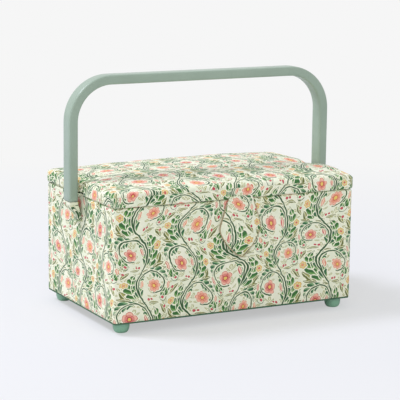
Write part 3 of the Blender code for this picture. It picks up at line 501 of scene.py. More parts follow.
def lid_plan(inset):
    """The lid's outline with its two notches, drawn in by an inset; every inset gives as many points."""
    radius = max(LID_RADIUS - inset, 0.4)
    mouth = max(NOTCH_RADIUS - inset, 0.3)
    floor = min(NOTCH_RADIUS + inset, NOTCH_DEPTH - mouth - 0.2)
    end = LID_X - inset
    deep = end - NOTCH_DEPTH
    side = NOTCH_HALF + inset
    front = LID_Y - inset
    half = [(deep, 0.0)] + between((deep, 0.0), (deep, side - floor), 5)
    half += arc((deep + floor, side - floor), floor, math.pi, QUARTER, 5)
    half += arc((end - mouth, side + mouth), mouth, -QUARTER, 0, 5)
    half += between(half[-1], (end, front - radius), 14)
    half += arc((end - radius, front - radius), radius, 0, QUARTER, 9)
    half += between(half[-1], (0, front), 24)
    right_back = np.array(half + [(0, front)])
    left_back = (right_back[::-1] * (-1, 1))[1:]
    back = np.concatenate([right_back, left_back])
    front_side = (back[::-1] * (1, -1))[1:-1]
    return np.concatenate([back, front_side])


def outward(plan):
    """Outward directions at the points of an anticlockwise outline."""
    run = np.roll(plan, -1, 0) - np.roll(plan, 1, 0)
    run /= np.linalg.norm(run, axis=1)[:, None]
    return np.stack([run[:, 1], -run[:, 0]], 1)


def lengths(plan):
    """Distance run along an outline, one more value than points, for the closing seam."""
    loop = np.concatenate([plan, plan[:1]])
    return np.concatenate([[0], np.cumsum(np.linalg.norm(np.diff(loop, axis=0), axis=1))])


def ring(plan, height):
    """An outline raised to a height, which may vary from point to point."""
    return np.column_stack([plan, np.broadcast_to(height, len(plan))])


def skin(name, rings, cloth, material, around=True, shut=False, caps=False):
    """A mesh over rings of points in millimetres; cloth gives each point its place on the flat cloth."""
    rings = np.array(rings, float)
    rows, count = rings.shape[:2]
    points = rings.reshape(-1, 3) * MM
    if cloth is None:
        columns = np.arange(count + 1)[None, :] * np.ones((rows, 1))
        steps = np.linalg.norm(np.diff(rings, axis=0), axis=2).mean(1)
        runs = np.concatenate([[0], np.cumsum(steps)])[:, None] * np.ones((1, count + 1))
        pitch = np.linalg.norm(rings[0] - np.roll(rings[0], -1, 0), axis=1).mean()
        cloth = np.stack([columns * max(pitch, 0.5), runs], 2)
    cloth = np.array(cloth, float) * MM
    if around and cloth.shape[1] == count:
        cloth = np.concatenate([cloth, cloth[:, :1]], 1)
    faces = []
    places = []
    row_pairs = [(row, row + 1) for row in range(rows - 1)]
    if shut:
        row_pairs.append((rows - 1, 0))
    for low, high in row_pairs:
        for column in range(count if around else count - 1):
            following = (column + 1) % count
            faces.append((low * count + column, low * count + following, high * count + following, high * count + column))
            places += [cloth[low, column], cloth[low, column + 1], cloth[high, column + 1], cloth[high, column]]
    if caps:
        for row in (0, rows - 1):
            faces.append(tuple(row * count + column for column in range(count)))
            places += [cloth[row, column] for column in range(count)]
    mesh = bpy.data.meshes.new(name)
    mesh.from_pydata([tuple(p) for p in points], [], faces)
    layer = mesh.uv_layers.new(name="cloth")
    layer.data.foreach_set("uv", np.array(places, np.float32).ravel())
    form = bmesh.new()
    form.from_mesh(mesh)
    bmesh.ops.remove_doubles(form, verts=form.verts, dist=1e-6)
    bmesh.ops.dissolve_degenerate(form, edges=form.edges, dist=1e-7)
    bmesh.ops.recalc_face_normals(form, faces=form.faces)
    form.to_mesh(mesh)
    form.free()
    mesh.shade_smooth()
    mesh.materials.append(material)
    piece = bpy.data.objects.new(name, mesh)
    bpy.context.scene.collection.objects.link(piece)
    return piece


def keep_sharp(piece, degrees):
    """Leave creases sharper than an angle unsmoothed."""
    piece.data.set_sharp_from_angle(angle=math.radians(degrees))
    return piece


def fit(piece, body, slot, *nodes):
    """Set a piece on its body, in place of the plain solids."""
    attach(piece, body)
    if nodes:
        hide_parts(*nodes)
    return piece


def bore(piece, start, end, radius):
    """Cut a round hole between two points, in millimetres."""
    start, end = Vector(start) * MM, Vector(end) * MM
    drill = bmesh.new()
    bmesh.ops.create_cone(drill, cap_ends=True, segments=24, radius1=radius * MM, radius2=radius * MM, depth=(end - start).length)
    turn = (end - start).to_track_quat("Z", "Y").to_matrix().to_4x4()
    bmesh.ops.transform(drill, matrix=Matrix.Translation((start + end) / 2) @ turn, verts=drill.verts)
    mesh = bpy.data.meshes.new("drill")
    drill.to_mesh(mesh)
    drill.free()
    tool = bpy.data.objects.new("drill", mesh)
    bpy.context.scene.collection.objects.link(tool)
    cut = piece.modifiers.new("hole", "BOOLEAN")
    cut.operation, cut.solver, cut.object = "DIFFERENCE", "EXACT", tool
    bpy.context.view_layer.update()
    cut_mesh = bpy.data.meshes.new_from_object(piece.evaluated_get(bpy.context.evaluated_depsgraph_get()))
    piece.modifiers.clear()
    piece.data = cut_mesh
    bpy.data.objects.remove(tool)
    return piece


def uneven(points, scale, depth, seed):
    """Gentle unevenness for a row of points, in millimetres."""
    return np.array([noise.noise(Vector((p[0] / scale + seed, p[1] / scale, p[2] / scale))) for p in points]) * depth


# Box

def make_walls(print_cloth):
    """The printed cloth round the walls, turned in over their top."""
    profile = [(0.35, WALL_LOW), (0.0, WALL_LOW + 0.5)]
    profile += [(0.0, height) for height in np.linspace(WALL_LOW + 4, WALL_TOP - 4, 26)]
    profile += [(0.0, WALL_TOP - 2.4), (0.4, WALL_TOP - 1.1), (1.2, WALL_TOP - 0.3), (2.2, WALL_TOP)]
    profile += [(LIP, WALL_TOP), (LIP, WALL_TOP - CLOTH), (CLOTH, WALL_TOP - CLOTH), (CLOTH, WALL_LOW)]
    outer = rounded_plan(BODY_X, BODY_Y, BODY_RADIUS)
    along = lengths(outer)
    facing = outward(outer)
    rings = []
    cloth = []
    run = 0.0
    for number, (inset, height) in enumerate(profile):
        plan = rounded_plan(BODY_X - inset, BODY_Y - inset, max(BODY_RADIUS - inset, 0.3))
        level = ring(plan, height)
        if 1 < number < 28:
            swell = uneven(level, 34, 0.22, 3.1) - 0.10
            level[:, :2] += facing * np.minimum(swell, 0.05)[:, None]
        if number:
            before = profile[number - 1]
            run += math.hypot(inset - before[0], height - before[1])
        rings.append(level)
        cloth.append(np.column_stack([along, np.full(len(along), run)]))
    walls = skin("wall_cloth", rings, cloth, print_cloth, shut=True)
    bore(walls, (-BODY_X - 3, 0, PIVOT_Z), (BODY_X + 3, 0, PIVOT_Z), 1.9)
    keep_sharp(walls, 50)
    return fit(walls, "box", "printed_cloth", "wall_cover")


def lid_rise(x, y):
    """How far the padding stands above the lid's side."""
    across = 1 - np.minimum(np.abs(x) / LID_X, 1) ** 2.5
    along = 1 - np.minimum(np.abs(y) / LID_Y, 1) ** 2.5
    crown = (across * along) ** (1 / 1.5)
    end_run = LID_X - np.abs(x)
    valley = 0.97 * np.exp(-(end_run / 28) ** 2 - np.abs(y / 15) ** 4)
    dip = 1.5 * np.exp(-((end_run - 8) / 8) ** 2 - np.abs(y / 13) ** 4)
    uneven_fill = 1 + 0.16 * x / LID_X - 0.14 * np.clip(-x / LID_X, 0, 1) * np.clip(y / LID_Y, 0, 1)
    end = np.clip((LID_X - x) / 5, 0, 1) ** 0.5 * np.exp(-((LID_X - 5 - x) / 22) ** 2)
    front_end = 2.8 * end * np.exp(-((y + 44) / 24) ** 2) * np.clip((LID_Y + y) / 8, 0, 1) ** 0.5
    lobe = 1.3 * np.exp(-((end_run - 11) / 10) ** 2 - ((np.abs(y) - 31) / 14) ** 2)
    return LID_RISE * crown * (1 - valley) * uneven_fill + front_end + lobe * (x < 0) * (y < 0) - dip


def faded_notch(plan, share):
    """The lid's outline with its notches filled, little by little, toward the middle."""
    keep = max((share - 0.90) / 0.10, 0)
    plan = plan.copy()
    near = (np.abs(plan[:, 1]) < NOTCH_HALF + LID_RADIUS) & (np.abs(plan[:, 0]) > LID_X - 11)
    x = plan[near, 0]
    plan[near, 0] = np.sign(x) * (LID_X - (LID_X - np.abs(x)) * keep)
    return plan


def make_lid(print_cloth):
    """The padded lid: printed cloth drawn over foam and turned in under the rim."""
    profile = [(LIP, LID_LOW + CLOTH), (LIP, LID_LOW), (2.6, LID_LOW), (1.3, LID_LOW + 0.35), (0.4, LID_LOW + 1.1)]
    profile += [(0.0, height) for height in np.linspace(LID_LOW + 2.3, LID_SIDE_TOP - SHOULDER, 8)]
    outer = lid_plan(0)
    facing = outward(outer)
    rings = [ring(lid_plan(CLOTH), LID_SEAT), ring(lid_plan(CLOTH), LID_LOW + CLOTH)]
    cloth = [outer * 0.98, outer * 0.99]
    rings.insert(0, ring(lid_plan(CLOTH) * 0.0, LID_SEAT))
    cloth.insert(0, outer * 0.0)
    for inset, height in profile:
        level = ring(lid_plan(inset), height)
        drop = LID_SIDE_TOP - height + (inset if height < LID_LOW + 1 else 0)
        if 0.0 == inset:
            level[:, :2] += facing * (uneven(level, 30, 0.25, 9.4) - 0.08)[:, None]
        rings.append(level)
        cloth.append(outer + facing * drop)
    for share in (0.9992, 0.997, 0.993, 0.987, 0.979, 0.968, 0.955, 0.94, 0.92, 0.895, 0.865, 0.83, 0.79, 0.74,
                  0.68, 0.61, 0.53, 0.44, 0.34, 0.23, 0.12, 0.0):
        plan = faded_notch(outer, share) * share
        level = ring(plan, 0)
        level[:, 2] = LID_SIDE_TOP + lid_rise(plan[:, 0], plan[:, 1])
        near_edge = 1 - min((1 - share) * 100 / SHOULDER, 1)
        level[:, 2] -= SHOULDER * (1 - math.sqrt(1 - near_edge ** 2))
        level[:, 2] += uneven(level, 26, 0.7, 5.2) * min((1 - share) * 12, 1)
        rings.append(level)
        cloth.append(plan)
    for level in rings[5:]:
        corner = np.clip(-level[:, 0] / LID_X + 0.25, 0, 1) * np.clip(level[:, 1] / LID_Y + 0.25, 0, 1)
        level[:, 2] -= 1.1 * corner * np.clip((level[:, 2] - LID_LOW - 3) / 8, 0, 1)
    lid = skin("padded_lid", rings, cloth, print_cloth)
    keep_sharp(lid, 60)
    return fit(lid, "lid", "printed_cloth", "lid_cover", "lid_pad")


def tongue_plan(inset, steps=48):
    """The tongue's outline in x and z, from the top right down to the blunt point and up to the top left."""
    start = math.atan2(TONGUE_DROP, TONGUE_TOP) - math.acos(TONGUE_RADIUS / math.hypot(TONGUE_TOP, TONGUE_DROP))
    bottom = np.array(arc((0, 0), 1.0, start, -math.pi - start, steps))
    low = bottom[:, 1] < 0
    bottom[low] = np.sign(bottom[low]) * np.abs(bottom[low]) ** (2 / 1.35)
    bottom[low, 1] *= TONGUE_POINT - 1.4 * inset
    bottom[~low, 1] *= TONGUE_RADIUS - inset
    bottom[:, 0] *= TONGUE_RADIUS - inset
    bottom[:, 1] += MAGNET_Z
    corner = (TONGUE_TOP - inset, TONGUE_HIGH - inset)
    right = [corner] + between(corner, bottom[0], 24)
    left = [(-x, z) for x, z in reversed(right)]
    return np.array(right + [tuple(p) for p in bottom] + left + between(left[-1], right[0], 10))


def smooth(share):
    """A soft step from 0 to 1."""
    share = np.clip(share, 0, 1)
    return share * share * (3 - 2 * share)


def off_wall(height):
    """How far the tongue's point curls off the wall at a height."""
    return 4.5 * np.clip((MAGNET_Z - 9 - height) / 22, 0, 1) ** 1.4


def make_tongue(print_cloth):
    """The padded tongue, stitched along its edge, its point curled a little off the wall."""
    middle = np.array((0.0, MAGNET_Z))
    full = tongue_plan(0)

    def level(plan, out):
        over = smooth((plan[:, 1] - WALL_TOP + 2.4) / 2.6)
        thin = 1 - 0.75 * smooth((plan[:, 1] - WALL_TOP + 1.3) / 4)
        return np.column_stack([plan[:, 0] + TONGUE_ASIDE, TONGUE_BACK - 1.15 * over - out * thin - off_wall(plan[:, 1]), plan[:, 1]])

    steps = [(middle + (full - middle) * share, 0.0) for share in (0.0, 0.3, 0.55, 0.8)]
    steps += [(tongue_plan(0.7), 0.0), (tongue_plan(0.2), 0.3), (full, 0.9), (tongue_plan(0.2), 1.6)]
    steps += [(tongue_plan(0.8), 1.95), (tongue_plan(1.8), 2.0), (tongue_plan(2.3), 1.6), (tongue_plan(2.8), 1.95)]
    rings = [level(plan, out) for plan, out in steps]
    cloth = [plan for plan, _ in steps]
    inner = tongue_plan(2.8)
    for share in (0.965, 0.92, 0.86, 0.78, 0.67, 0.54, 0.38, 0.20, 0.0):
        plan = middle + (inner - middle) * share
        fade = np.clip((WALL_TOP - plan[:, 1]) / 26, 0, 1) ** 0.6
        puff = np.clip(1 - share ** 3.2, 0, 1) ** 0.6
        rings.append(level(plan, 1.95 + 2.2 * fade * puff))
        cloth.append(plan)
    cloth = [np.column_stack([plan[:, 0] + 14.0, plan[:, 1] + 3.0]) for plan in cloth]
    tongue = skin("closing_tongue", rings, cloth, print_cloth)
    bore(tongue, (0, TONGUE_BACK + 2, MAGNET_Z), (0, TONGUE_BACK - 1.5, MAGNET_Z), 7.3)
    keep_sharp(tongue, 60)
    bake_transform(tongue)
    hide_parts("tongue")
    return tongue


def make_tongue_shade_line_binding(shade_line_tape):
    """The narrow roll round the tongue's edge: its raised form is real relief, and its fawn cloth is a painted shadow
    line along that edge.
    """
    path = tongue_plan(-0.1)
    path = path[path[:, 1] < WALL_TOP - 2]
    ahead = np.gradient(path, axis=0)
    ahead /= np.linalg.norm(ahead, axis=1)[:, None]
    turns = np.linspace(0, math.tau, 15)[:-1]
    rings = []
    for (x, z), (run_x, run_z) in zip(path, ahead):
        face = TONGUE_BACK - 1.15 - off_wall(z)
        rings.append([(x + TONGUE_ASIDE + 0.5 * math.cos(t) * run_z, face + 0.95 * math.sin(t), z - 0.5 * math.cos(t) * run_x) for t in turns])
    binding = skin("tongue_shade_line_binding", rings, None, shade_line_tape, caps=True)
    fit(binding, "tongue", "elastic_trim")


def make_hinge(print_cloth):
    """One cloth strip along the back, glued to the wall below and the lid above."""
    low, high = HINGE_Z - 8.5, HINGE_Z + 8.5
    heights = np.concatenate([np.linspace(low, HINGE_Z - 3, 6), np.linspace(HINGE_Z - 2, HINGE_Z + 2, 9), np.linspace(HINGE_Z + 3, high, 6)])
    outline = []
    for side in (0, 1):
        for height in heights if side == 0 else heights[::-1]:
            share = np.clip((height - (HINGE_Z - 2.0)) / 4.0, 0, 1)
            share = share * share * (3 - 2 * share)
            near = 81.32 + (82.62 - 81.32) * share
            outline.append((near + (CLOTH - 0.04 if side == 0 else 0), height))
    columns = np.linspace(-118, 118, 60)
    rings = [[(x, y, z) for y, z in outline] for x in columns]
    cloth = [[(x + 7.0, z) for y, z in outline] for x in columns]
    strip = skin("hinge_cloth", rings, cloth, print_cloth, caps=True)
    keep_sharp(strip, 60)
    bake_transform(strip)
    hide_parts("hinge_cloth_lower", "hinge_cloth_upper")
    return strip


def make_feet(plastic):
    """Four turned feet with a rounded tread and a screw recess."""
    profile = [(1.9, 10.0), (7.5, 10.0), (7.9, 9.8), (8.1, 9.3), (8.1, 7.2)]
    profile += [(4.6 + 3.5 * math.cos(t), 7.2 - 7.2 * math.sin(t)) for t in np.linspace(0, QUARTER, 10)[1:]]
    profile += [(4.1, 0.0), (3.7, 0.25), (3.6, 0.7), (3.6, 3.9), (1.9, 3.9)]
    turns = np.linspace(0, math.tau, 49)[:-1]
    for name, x, y in (("front_left", -1, -1), ("front_right", 1, -1), ("back_left", -1, 1), ("back_right", 1, 1)):
        middle = (x * FOOT_X, y * FOOT_Y)
        rings = [[(middle[0] + r * math.cos(t), middle[1] + r * math.sin(t), z) for t in turns] for r, z in profile]
        foot = skin("turned_foot_" + name, rings, None, plastic, shut=True)
        keep_sharp(foot, 50)
        fit(foot, "box", "foot_plastic", "foot_" + name)


# Handle

def handle_path():
    """Stations along the bail: place in x and z, and the outward direction there."""
    bend_x, bend_z = HANDLE_X - HANDLE_BEND, HANDLE_TOP - HANDLE_THICK / 2 - HANDLE_BEND
    leg = np.linspace(LEG_END, bend_z, 16)[:-1]
    stations = [(-HANDLE_X, z, math.pi) for z in leg]
    stations += [(-bend_x + HANDLE_BEND * math.cos(t), bend_z + HANDLE_BEND * math.sin(t), t) for t in np.linspace(math.pi, QUARTER, 25)]
    stations += [(x, bend_z + HANDLE_BEND, QUARTER) for x in np.linspace(-bend_x, bend_x, 22)[1:-1]]
    stations += [(bend_x + HANDLE_BEND * math.cos(t), bend_z + HANDLE_BEND * math.sin(t), t) for t in np.linspace(QUARTER, 0, 25)]
    return stations + [(HANDLE_X, z, 0.0) for z in leg[::-1]]


def make_handle(plastic):
    """The moulded bail, hollow at both leg ends."""
    turns = np.linspace(0, math.tau, 49)[:-1] + math.tau / 96
    crowned = np.stack([np.cos(turns), np.sin(turns)], 1)
    crowned = np.sign(crowned) * np.abs(crowned) ** (2 / 5.6)
    half = np.array((HANDLE_THICK / 2, HANDLE_WIDE / 2))
    section = crowned * half
    hollow = crowned * (half - SOCKET_WALL)
    mouth = crowned * (half - SOCKET_WALL + 0.5)
    eased = crowned * (half - 0.6)

    def across(station, shape):
        x, z, turn = station
        return [(x + a * math.cos(turn), b, z + a * math.sin(turn)) for a, b in shape]

    stations = handle_path()
    rings = []
    ends = []
    for station in (stations[0], stations[-1]):
        x, z, turn = station
        rows = [((x, LEG_END + SOCKET_DEEP, turn), hollow * 0.0), ((x, LEG_END + SOCKET_DEEP, turn), hollow)]
        rows += [((x, LEG_END + 0.6, turn), hollow), ((x, LEG_END, turn), mouth), ((x, LEG_END, turn), eased)]
        ends.append([across(place, shape) for place, shape in rows])
    first = (stations[0][0], LEG_END + 0.6, stations[0][2])
    last = (stations[-1][0], LEG_END + 0.6, stations[-1][2])
    rings = ends[0] + [across(first, section)] + [across(s, section) for s in stations[1:-1]]
    rings += [across(last, section)] + ends[1][::-1]
    bail = skin("bail_handle", rings, None, plastic)
    keep_sharp(bail, 50)
    return fit(bail, "handle", "handle_plastic", "handle")


def make_straps(print_cloth):
    """The cloth straps that come out of the legs and turn on the rivets."""
    wall_face = BODY_X + 1.4
    shoulder = LEG_END - 0.3
    leg_inner, leg_outer = HANDLE_X - HANDLE_THICK / 2 + 0.3, HANDLE_X + HANDLE_THICK / 2 - 0.3
    half_width = 8.0
    rows = []
    for turn in np.linspace(0.06, QUARTER, 12):
        rows.append((PIVOT_Z - half_width * math.cos(turn), half_width * math.sin(turn), 0.0))
    for share in np.linspace(0, 1, 10)[1:]:
        rows.append((PIVOT_Z + (shoulder - PIVOT_Z) * share, half_width, share * share * (3 - 2 * share)))
    for side, sign in (("left", -1), ("right", 1)):
        rings = []
        cloth = []
        for height, wide, lean in rows:
            inner = wall_face + (leg_inner - wall_face) * lean
            outer = wall_face + 4.2 + (leg_outer - wall_face - 4.2) * math.sin(lean * QUARTER)
            plan = rounded_plan((outer - inner) / 2, wide, min(1.4, wide / 2), 4, 3, 10)
            rings.append([(sign * (x + (inner + outer) / 2), sign * y, height) for x, y in plan])
            cloth.append([(y + 33.0 + 3 * (x > 0), height) for x, y in plan])
        plug = rounded_plan(HANDLE_THICK / 2 - 2.3, HANDLE_WIDE / 2 - 2.3, 0.8, 4, 3, 10)
        for height in (shoulder, LEG_END + SOCKET_DEEP - 1):
            rings.append([(sign * (x + HANDLE_X), sign * y, height) for x, y in plug])
            cloth.append([(y + 33.0, height) for x, y in plug])
        strap = skin(side + "_end_strap", rings, cloth, print_cloth, caps=True)
        bore(strap, (sign * (wall_face - 2), 0, PIVOT_Z), (sign * (wall_face + 2.4), 0, PIVOT_Z), 1.9)
        keep_sharp(strap, 50)
        fit(strap, "handle", "printed_cloth", side + "_strap")


# Inside

def make_lining(cream):
    """The plain lining tub, its corners soft and its floor flat, rounded where it meets the walls."""
    outer_x, outer_y = BODY_X - 3.9, BODY_Y - 3.9
    profile = [(0.0, 14.1), (0.0, 119.7), (0.8, 119.7)]
    profile += [(0.8, height) for height in np.linspace(116, 21, 16)]
    profile += [(0.9, 17.7), (1.3, 16.0), (2.2, 15.2), (3.4, 14.92)]
    rings = [ring(rounded_plan(outer_x, outer_y, 0.8) * 0.0, 14.1)]
    cloth = [rounded_plan(outer_x, outer_y, 0.8) * 0.0]
    run = 0.0
    plan = rounded_plan(outer_x, outer_y, 0.8)
    facing = outward(plan)
    for number, (inset, height) in enumerate(profile):
        level_plan = rounded_plan(outer_x - inset, outer_y - inset, 0.8 + (1.6 if inset > 0.5 else 0))
        rings.append(ring(level_plan, height))
        cloth.append(plan + facing * (height - 14.9))
    for share in (0.96, 0.9, 0.8, 0.65, 0.45, 0.2, 0.0):
        inner = rounded_plan(outer_x - 3.4, outer_y - 3.4, 2.4) * share
        level = ring(inner, 14.92)
        rings.append(level)
        cloth.append(inner)
    tub = skin("lining_tub", rings, cloth, cream)
    bore(tub, (-BODY_X - 3, 0, PIVOT_Z), (BODY_X + 3, 0, PIVOT_Z), 1.9)
    keep_sharp(tub, 50)
    return fit(tub, "box", "lining_cloth", "lining")


def make_lid_lining(cream):
    """The lid's lining: a shallow tray of cloth inside the rim, lightly padded."""
    face, top, low = 128.8, 129.6, 122.2
    rings = [ring(lid_plan(3.9) * 0.0, top), ring(lid_plan(3.9), top), ring(lid_plan(3.9), low), ring(lid_plan(4.7), low)]
    plan = lid_plan(4.7)
    facing = outward(plan)
    cloth = [plan * 0.0, plan, plan + facing * 8, plan + facing * 8]
    for inset, height in ((4.7, 124.2), (4.7, 126.8), (4.9, 127.9), (5.4, 128.6), (6.2, 128.78)):
        rings.append(ring(lid_plan(inset), height))
        cloth.append(plan + facing * (face - height))
    inner = lid_plan(6.2)
    for share in (0.96, 0.9, 0.8, 0.65, 0.45, 0.2, 0.0):
        rings.append(ring(faded_notch(inner, share) * share, face))
        cloth.append(inner * share)
    lining = skin("lid_lining_cloth", rings, cloth, cream)
    keep_sharp(lining, 50)
    return fit(lining, "lid", "lining_cloth", "lid_lining")


def make_pincushion(cotton, cream):
    """The stuffed pincushion, drawn in between its corners and tufted by three buttons."""
    half_x, half_y, middle_x, seat = 30.0, 24.0, 78.0, 128.5
    edge = rounded_plan(half_x, half_y, 9.0, 8, 16, 12)
    pull = 1 - 0.045 * (1 - np.minimum(np.abs(edge[:, 0]) / half_x, np.abs(edge[:, 1]) / half_y)) ** 2
    edge = edge * pull[:, None]
    tufts = ((-13.0, 0.0), (0.0, 0.0), (13.0, 0.0))
    rings = [ring(edge * 0.0, 0.0), ring(edge * 0.90, 0.0), ring(edge * 0.965, 0.5), ring(edge * 0.99, 1.4), ring(edge, 2.4)]
    rings += [ring(edge * 1.012, 2.9), ring(edge * 0.995, 3.4)]
    for share in (0.97, 0.93, 0.87, 0.79, 0.69, 0.57, 0.44, 0.30, 0.15, 0.0):
        plan = edge * share
        bulge = np.clip(1 - share ** 2.6, 0, 1) ** 0.55
        height = 3.4 + 8.2 * bulge * np.ones(len(plan))
        for x, y in tufts:
            away = np.hypot(plan[:, 0] - x, plan[:, 1] - y)
            height = height - 2.6 * np.exp(-(away / 4.2) ** 2)
        rings.append(ring(plan, height))
    rings = [np.column_stack([r[:, 0] + middle_x, r[:, 1], seat - r[:, 2]]) for r in rings]
    cloth = [r[:, :2] for r in rings]
    cushion = skin("stuffed_pincushion", rings, cloth, cotton)
    fit(cushion, "lid", "cushion_cloth", "pincushion")
    turns = np.linspace(0, math.tau, 25)[:-1]
    for number, (x, y) in enumerate(tufts):
        depth = seat - 3.4 - 8.2 + 2.5
        profile = ((0.0, 0.6), (2.2, 0.5), (2.5, 0.0), (2.2, -0.6), (1.2, -1.0), (0.0, -1.1))
        dome = [[(middle_x + x + r * math.cos(t), y + r * math.sin(t), depth + z) for t in turns] for r, z in profile]
        button = skin("tuft_button_%d" % (number + 1), dome, None, cream)
        fit(button, "lid", "lining_cloth")


def make_lid_pocket(cream, cotton):
    """A gathered pocket, sewn down on three sides, with elastic along its mouth."""
    low_x, high_x, low_y, high_y, seat = -100.0, 30.0, -22.7, 52.3, 128.5
    columns = np.linspace(low_x, high_x, 120)
    rows = np.linspace(low_y, high_y, 40)

    def fullness(x, y):
        side = min(x - low_x, high_x - x)
        back = high_y - y
        rise = min(side / 5, 1) * min(back / 5, 1)
        return math.sin(rise * QUARTER)

    def gather(x, y):
        fade = math.exp(-(y - low_y) / 26)
        return 0.55 * fade * math.sin(x * 0.95 + 0.7 * math.sin(x * 0.31)) + 0.35 * noise.noise(Vector((x / 18, y / 22, 4.0)))

    def sheet_point(x, y, depth):
        full = fullness(x, y)
        return (x, y, seat - 0.05 - full * (5.4 - gather(x, y) - depth) - depth * (1 - full))

    round_trip = [(y, 0.0) for y in rows] + [(y, 0.7) for y in rows[::-1]]
    rings = [[sheet_point(x, y, depth) for y, depth in round_trip] for x in columns]
    cloth = [[(x, y) for y, _ in round_trip] for x in columns]
    pocket = skin("gathered_pocket", rings, cloth, cream, caps=True)
    keep_sharp(pocket, 70)
    fit(pocket, "lid", "lining_cloth", "lid_pocket")
    turns = np.linspace(0, math.tau, 13)[:-1]
    rings = []
    for x in np.linspace(low_x + 0.4, high_x - 0.4, 160):
        swell = 0.85 + 0.10 * math.sin(x * 1.9)
        lift = seat - 0.05 - fullness(x, low_y) * (6.0 - gather(x, low_y)) - 0.6 * fullness(x, low_y)
        lift = min(lift, seat - 1.2)
        rings.append([(x, low_y + 0.95 + swell * math.cos(t), lift + swell * math.sin(t) * 0.8) for t in turns])
    elastic = skin("covered_elastic", rings, None, cotton, caps=True)
    fit(elastic, "lid", "elastic_trim", "pocket_elastic")


# Finishes of the rigid pieces that stay as built

def dress(node, material, edge=0.0, slot=None):
    """Give a solid that stays its material and, where asked, eased edges."""
    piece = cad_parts[node]
    piece.data.materials.clear()
    piece.data.materials.append(material)
    if edge:
        ease = piece.modifiers.new("eased edges", "BEVEL")
        ease.width, ease.segments, ease.limit_method = edge * MM, 2, "ANGLE"
        ease.angle_limit = math.radians(50)


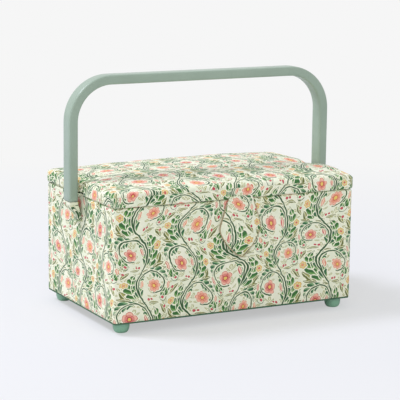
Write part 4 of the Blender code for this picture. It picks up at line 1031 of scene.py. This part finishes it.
def make_studio():
    """A plain pale floor and backdrop, soft light and the camera."""
    finish = Finish("studio floor")
    path = finish.add("ShaderNodeLightPath").socket.node
    seen = Value(finish, path.outputs["Is Camera Ray"])
    away = finish.vector("LENGTH", finish.vector("MULTIPLY", finish.in_space(), (1.0, 1.0, 0.0)), out=1)
    finish.paint(Base_Color=ink(222, 224, 224), Roughness=0.9, Specular_IOR_Level=0.1)
    backdrop = finish.add("ShaderNodeEmission", {"Color": BACKDROP})
    share = seen * away.spread(260, 900, 0.52, 1.0)
    mixed = finish.add("ShaderNodeMixShader", {0: share, 1: Value(finish, finish.shader.outputs[0]), 2: backdrop})
    finish.tree.links.new(mixed.socket, finish.tree.nodes["Material Output"].inputs["Surface"])
    floor = bpy.data.meshes.new("floor")
    floor.from_pydata([(-6, -6, 0), (6, -6, 0), (6, 6, 0), (-6, 6, 0)], [], [(0, 1, 2, 3)])
    floor.materials.append(finish.material)
    ground = bpy.data.objects.new("floor", floor)
    bpy.context.scene.collection.objects.link(ground)

    world = bpy.data.worlds.new("studio")
    bpy.context.scene.world = world
    world.use_nodes = True
    tree = world.node_tree
    tree.nodes["Background"].inputs["Color"].default_value = (0.95, 0.96, 1.06, 1.0)
    tree.nodes["Background"].inputs["Strength"].default_value = 0.61
    shown = tree.nodes.new("ShaderNodeBackground")
    shown.inputs["Color"].default_value = BACKDROP
    path = tree.nodes.new("ShaderNodeLightPath")
    either = tree.nodes.new("ShaderNodeMath")
    either.operation = "MAXIMUM"
    tree.links.new(path.outputs["Is Camera Ray"], either.inputs[0])
    tree.links.new(path.outputs["Is Glossy Ray"], either.inputs[1])
    choose = tree.nodes.new("ShaderNodeMixShader")
    tree.links.new(either.outputs[0], choose.inputs[0])
    tree.links.new(tree.nodes["Background"].outputs[0], choose.inputs[1])
    tree.links.new(shown.outputs[0], choose.inputs[2])
    tree.links.new(choose.outputs[0], tree.nodes["World Output"].inputs["Surface"])

    for name, place, size, power, colour in (
        ("key", (-1.50, 0.85, 2.50), 0.9, 57.0, (0.95, 0.95, 1.12)),
        ("fill", (-1.7, -2.95, 1.7), 2.2, 29.5, (1.0, 1.0, 1.0)),
        ("side", (1.2, -1.5, 0.6), 1.2, 2.1, (1.0, 1.0, 1.0)),
    ):
        data = bpy.data.lights.new(name, "AREA")
        data.shape, data.size, data.energy, data.color = "SQUARE", size, power, colour
        lamp = bpy.data.objects.new(name, data)
        lamp.location = place
        lamp.rotation_mode = "QUATERNION"
        lamp.rotation_quaternion = (Vector((0, 0, 0.1)) - Vector(place)).to_track_quat("-Z", "Y")
        bpy.context.scene.collection.objects.link(lamp)

    camera = bpy.data.cameras.new("camera")
    camera.sensor_width, camera.lens = 36.0, 154.08
    view = bpy.data.objects.new("camera", camera)
    target = Vector((0.00122, 0.0, 0.10578))
    azimuth, elevation, roll, distance = math.radians(-27.68), math.radians(10.744), math.radians(0.699), 1.7121
    back = Vector((math.sin(azimuth) * math.cos(elevation), -math.cos(azimuth) * math.cos(elevation), math.sin(elevation)))
    view.location = target + back * distance
    view.rotation_mode = "QUATERNION"
    view.rotation_quaternion = (-back).to_track_quat("-Z", "Y") @ Quaternion((0, 0, 1), roll)
    bpy.context.scene.collection.objects.link(view)
    bpy.context.scene.camera = view
    bpy.context.scene.view_settings.view_transform = "Standard"


def dress_solids(metal, magnet, grey, green_board, card, tray):
    """Materials of every solid that stays."""
    dress("base_board", green_board, 0.4)
    for node in ("floor_board", "front_board", "back_board", "left_board", "right_board", "lid_board", "lid_rim", "lid_pad"):
        dress(node, grey)
    for node in ("left_ledge", "right_ledge"):
        dress(node, card, 0.5)
    dress("tray", tray, 0.35)
    for side in ("left", "right"):
        for kind in ("rivet", "washer", "spacer"):
            dress(side + "_" + kind, metal, 0.15)
        for end in ("front", "back"):
            dress("foot_screw_" + end + "_" + side, metal, 0.2)
    for node in ("wall_magnet", "tongue_magnet"):
        dress(node, magnet, 0.15)


make_studio()
print_cloth = printed_cotton("printed cotton")
cream = plain_cloth("cream lining cotton", ink(236, 228, 206), ink(222, 212, 188))
green_cotton = plain_cloth("green pincushion cotton", ink(104, 138, 108), ink(86, 120, 94), 0.9, 0.25)
# Fawn cloth for the roll round the tongue's edge; its darker colour is painted shadow along that edge
shade_line_tape = plain_cloth("fawn binding tape", ink(186, 170, 134), ink(160, 142, 106), 0.5, 0.2)
card = plain_cloth("cloth-faced card", ink(232, 224, 202), ink(218, 208, 184))
sage = moulded("sage handle plastic", ink(155, 173, 153), ink(149, 167, 147), 0.30)
foot_green = moulded("green foot plastic", ink(142, 188, 156), ink(134, 180, 148), 0.32)
tray_plastic = moulded("pale green tray plastic", ink(206, 220, 204), ink(198, 214, 198), 0.34)
base_green = board("green base board", ink(74, 112, 84), ink(60, 96, 70))
grey = board("grey board", ink(150, 142, 130), ink(120, 112, 100))
metal = plated("nickel-plated steel", ink(206, 204, 198), 0.24)
magnet = plated("magnet plating", ink(190, 190, 188), 0.34)

make_walls(print_cloth)
make_lid(print_cloth)
make_tongue(print_cloth)
make_tongue_shade_line_binding(shade_line_tape)
make_hinge(print_cloth)
make_feet(foot_green)
make_handle(sage)
make_straps(print_cloth)
make_lining(cream)
make_lid_lining(cream)
make_pincushion(green_cotton, cream)
make_lid_pocket(cream, green_cotton)
dress_solids(metal, magnet, grey, base_green, card, tray_plastic)
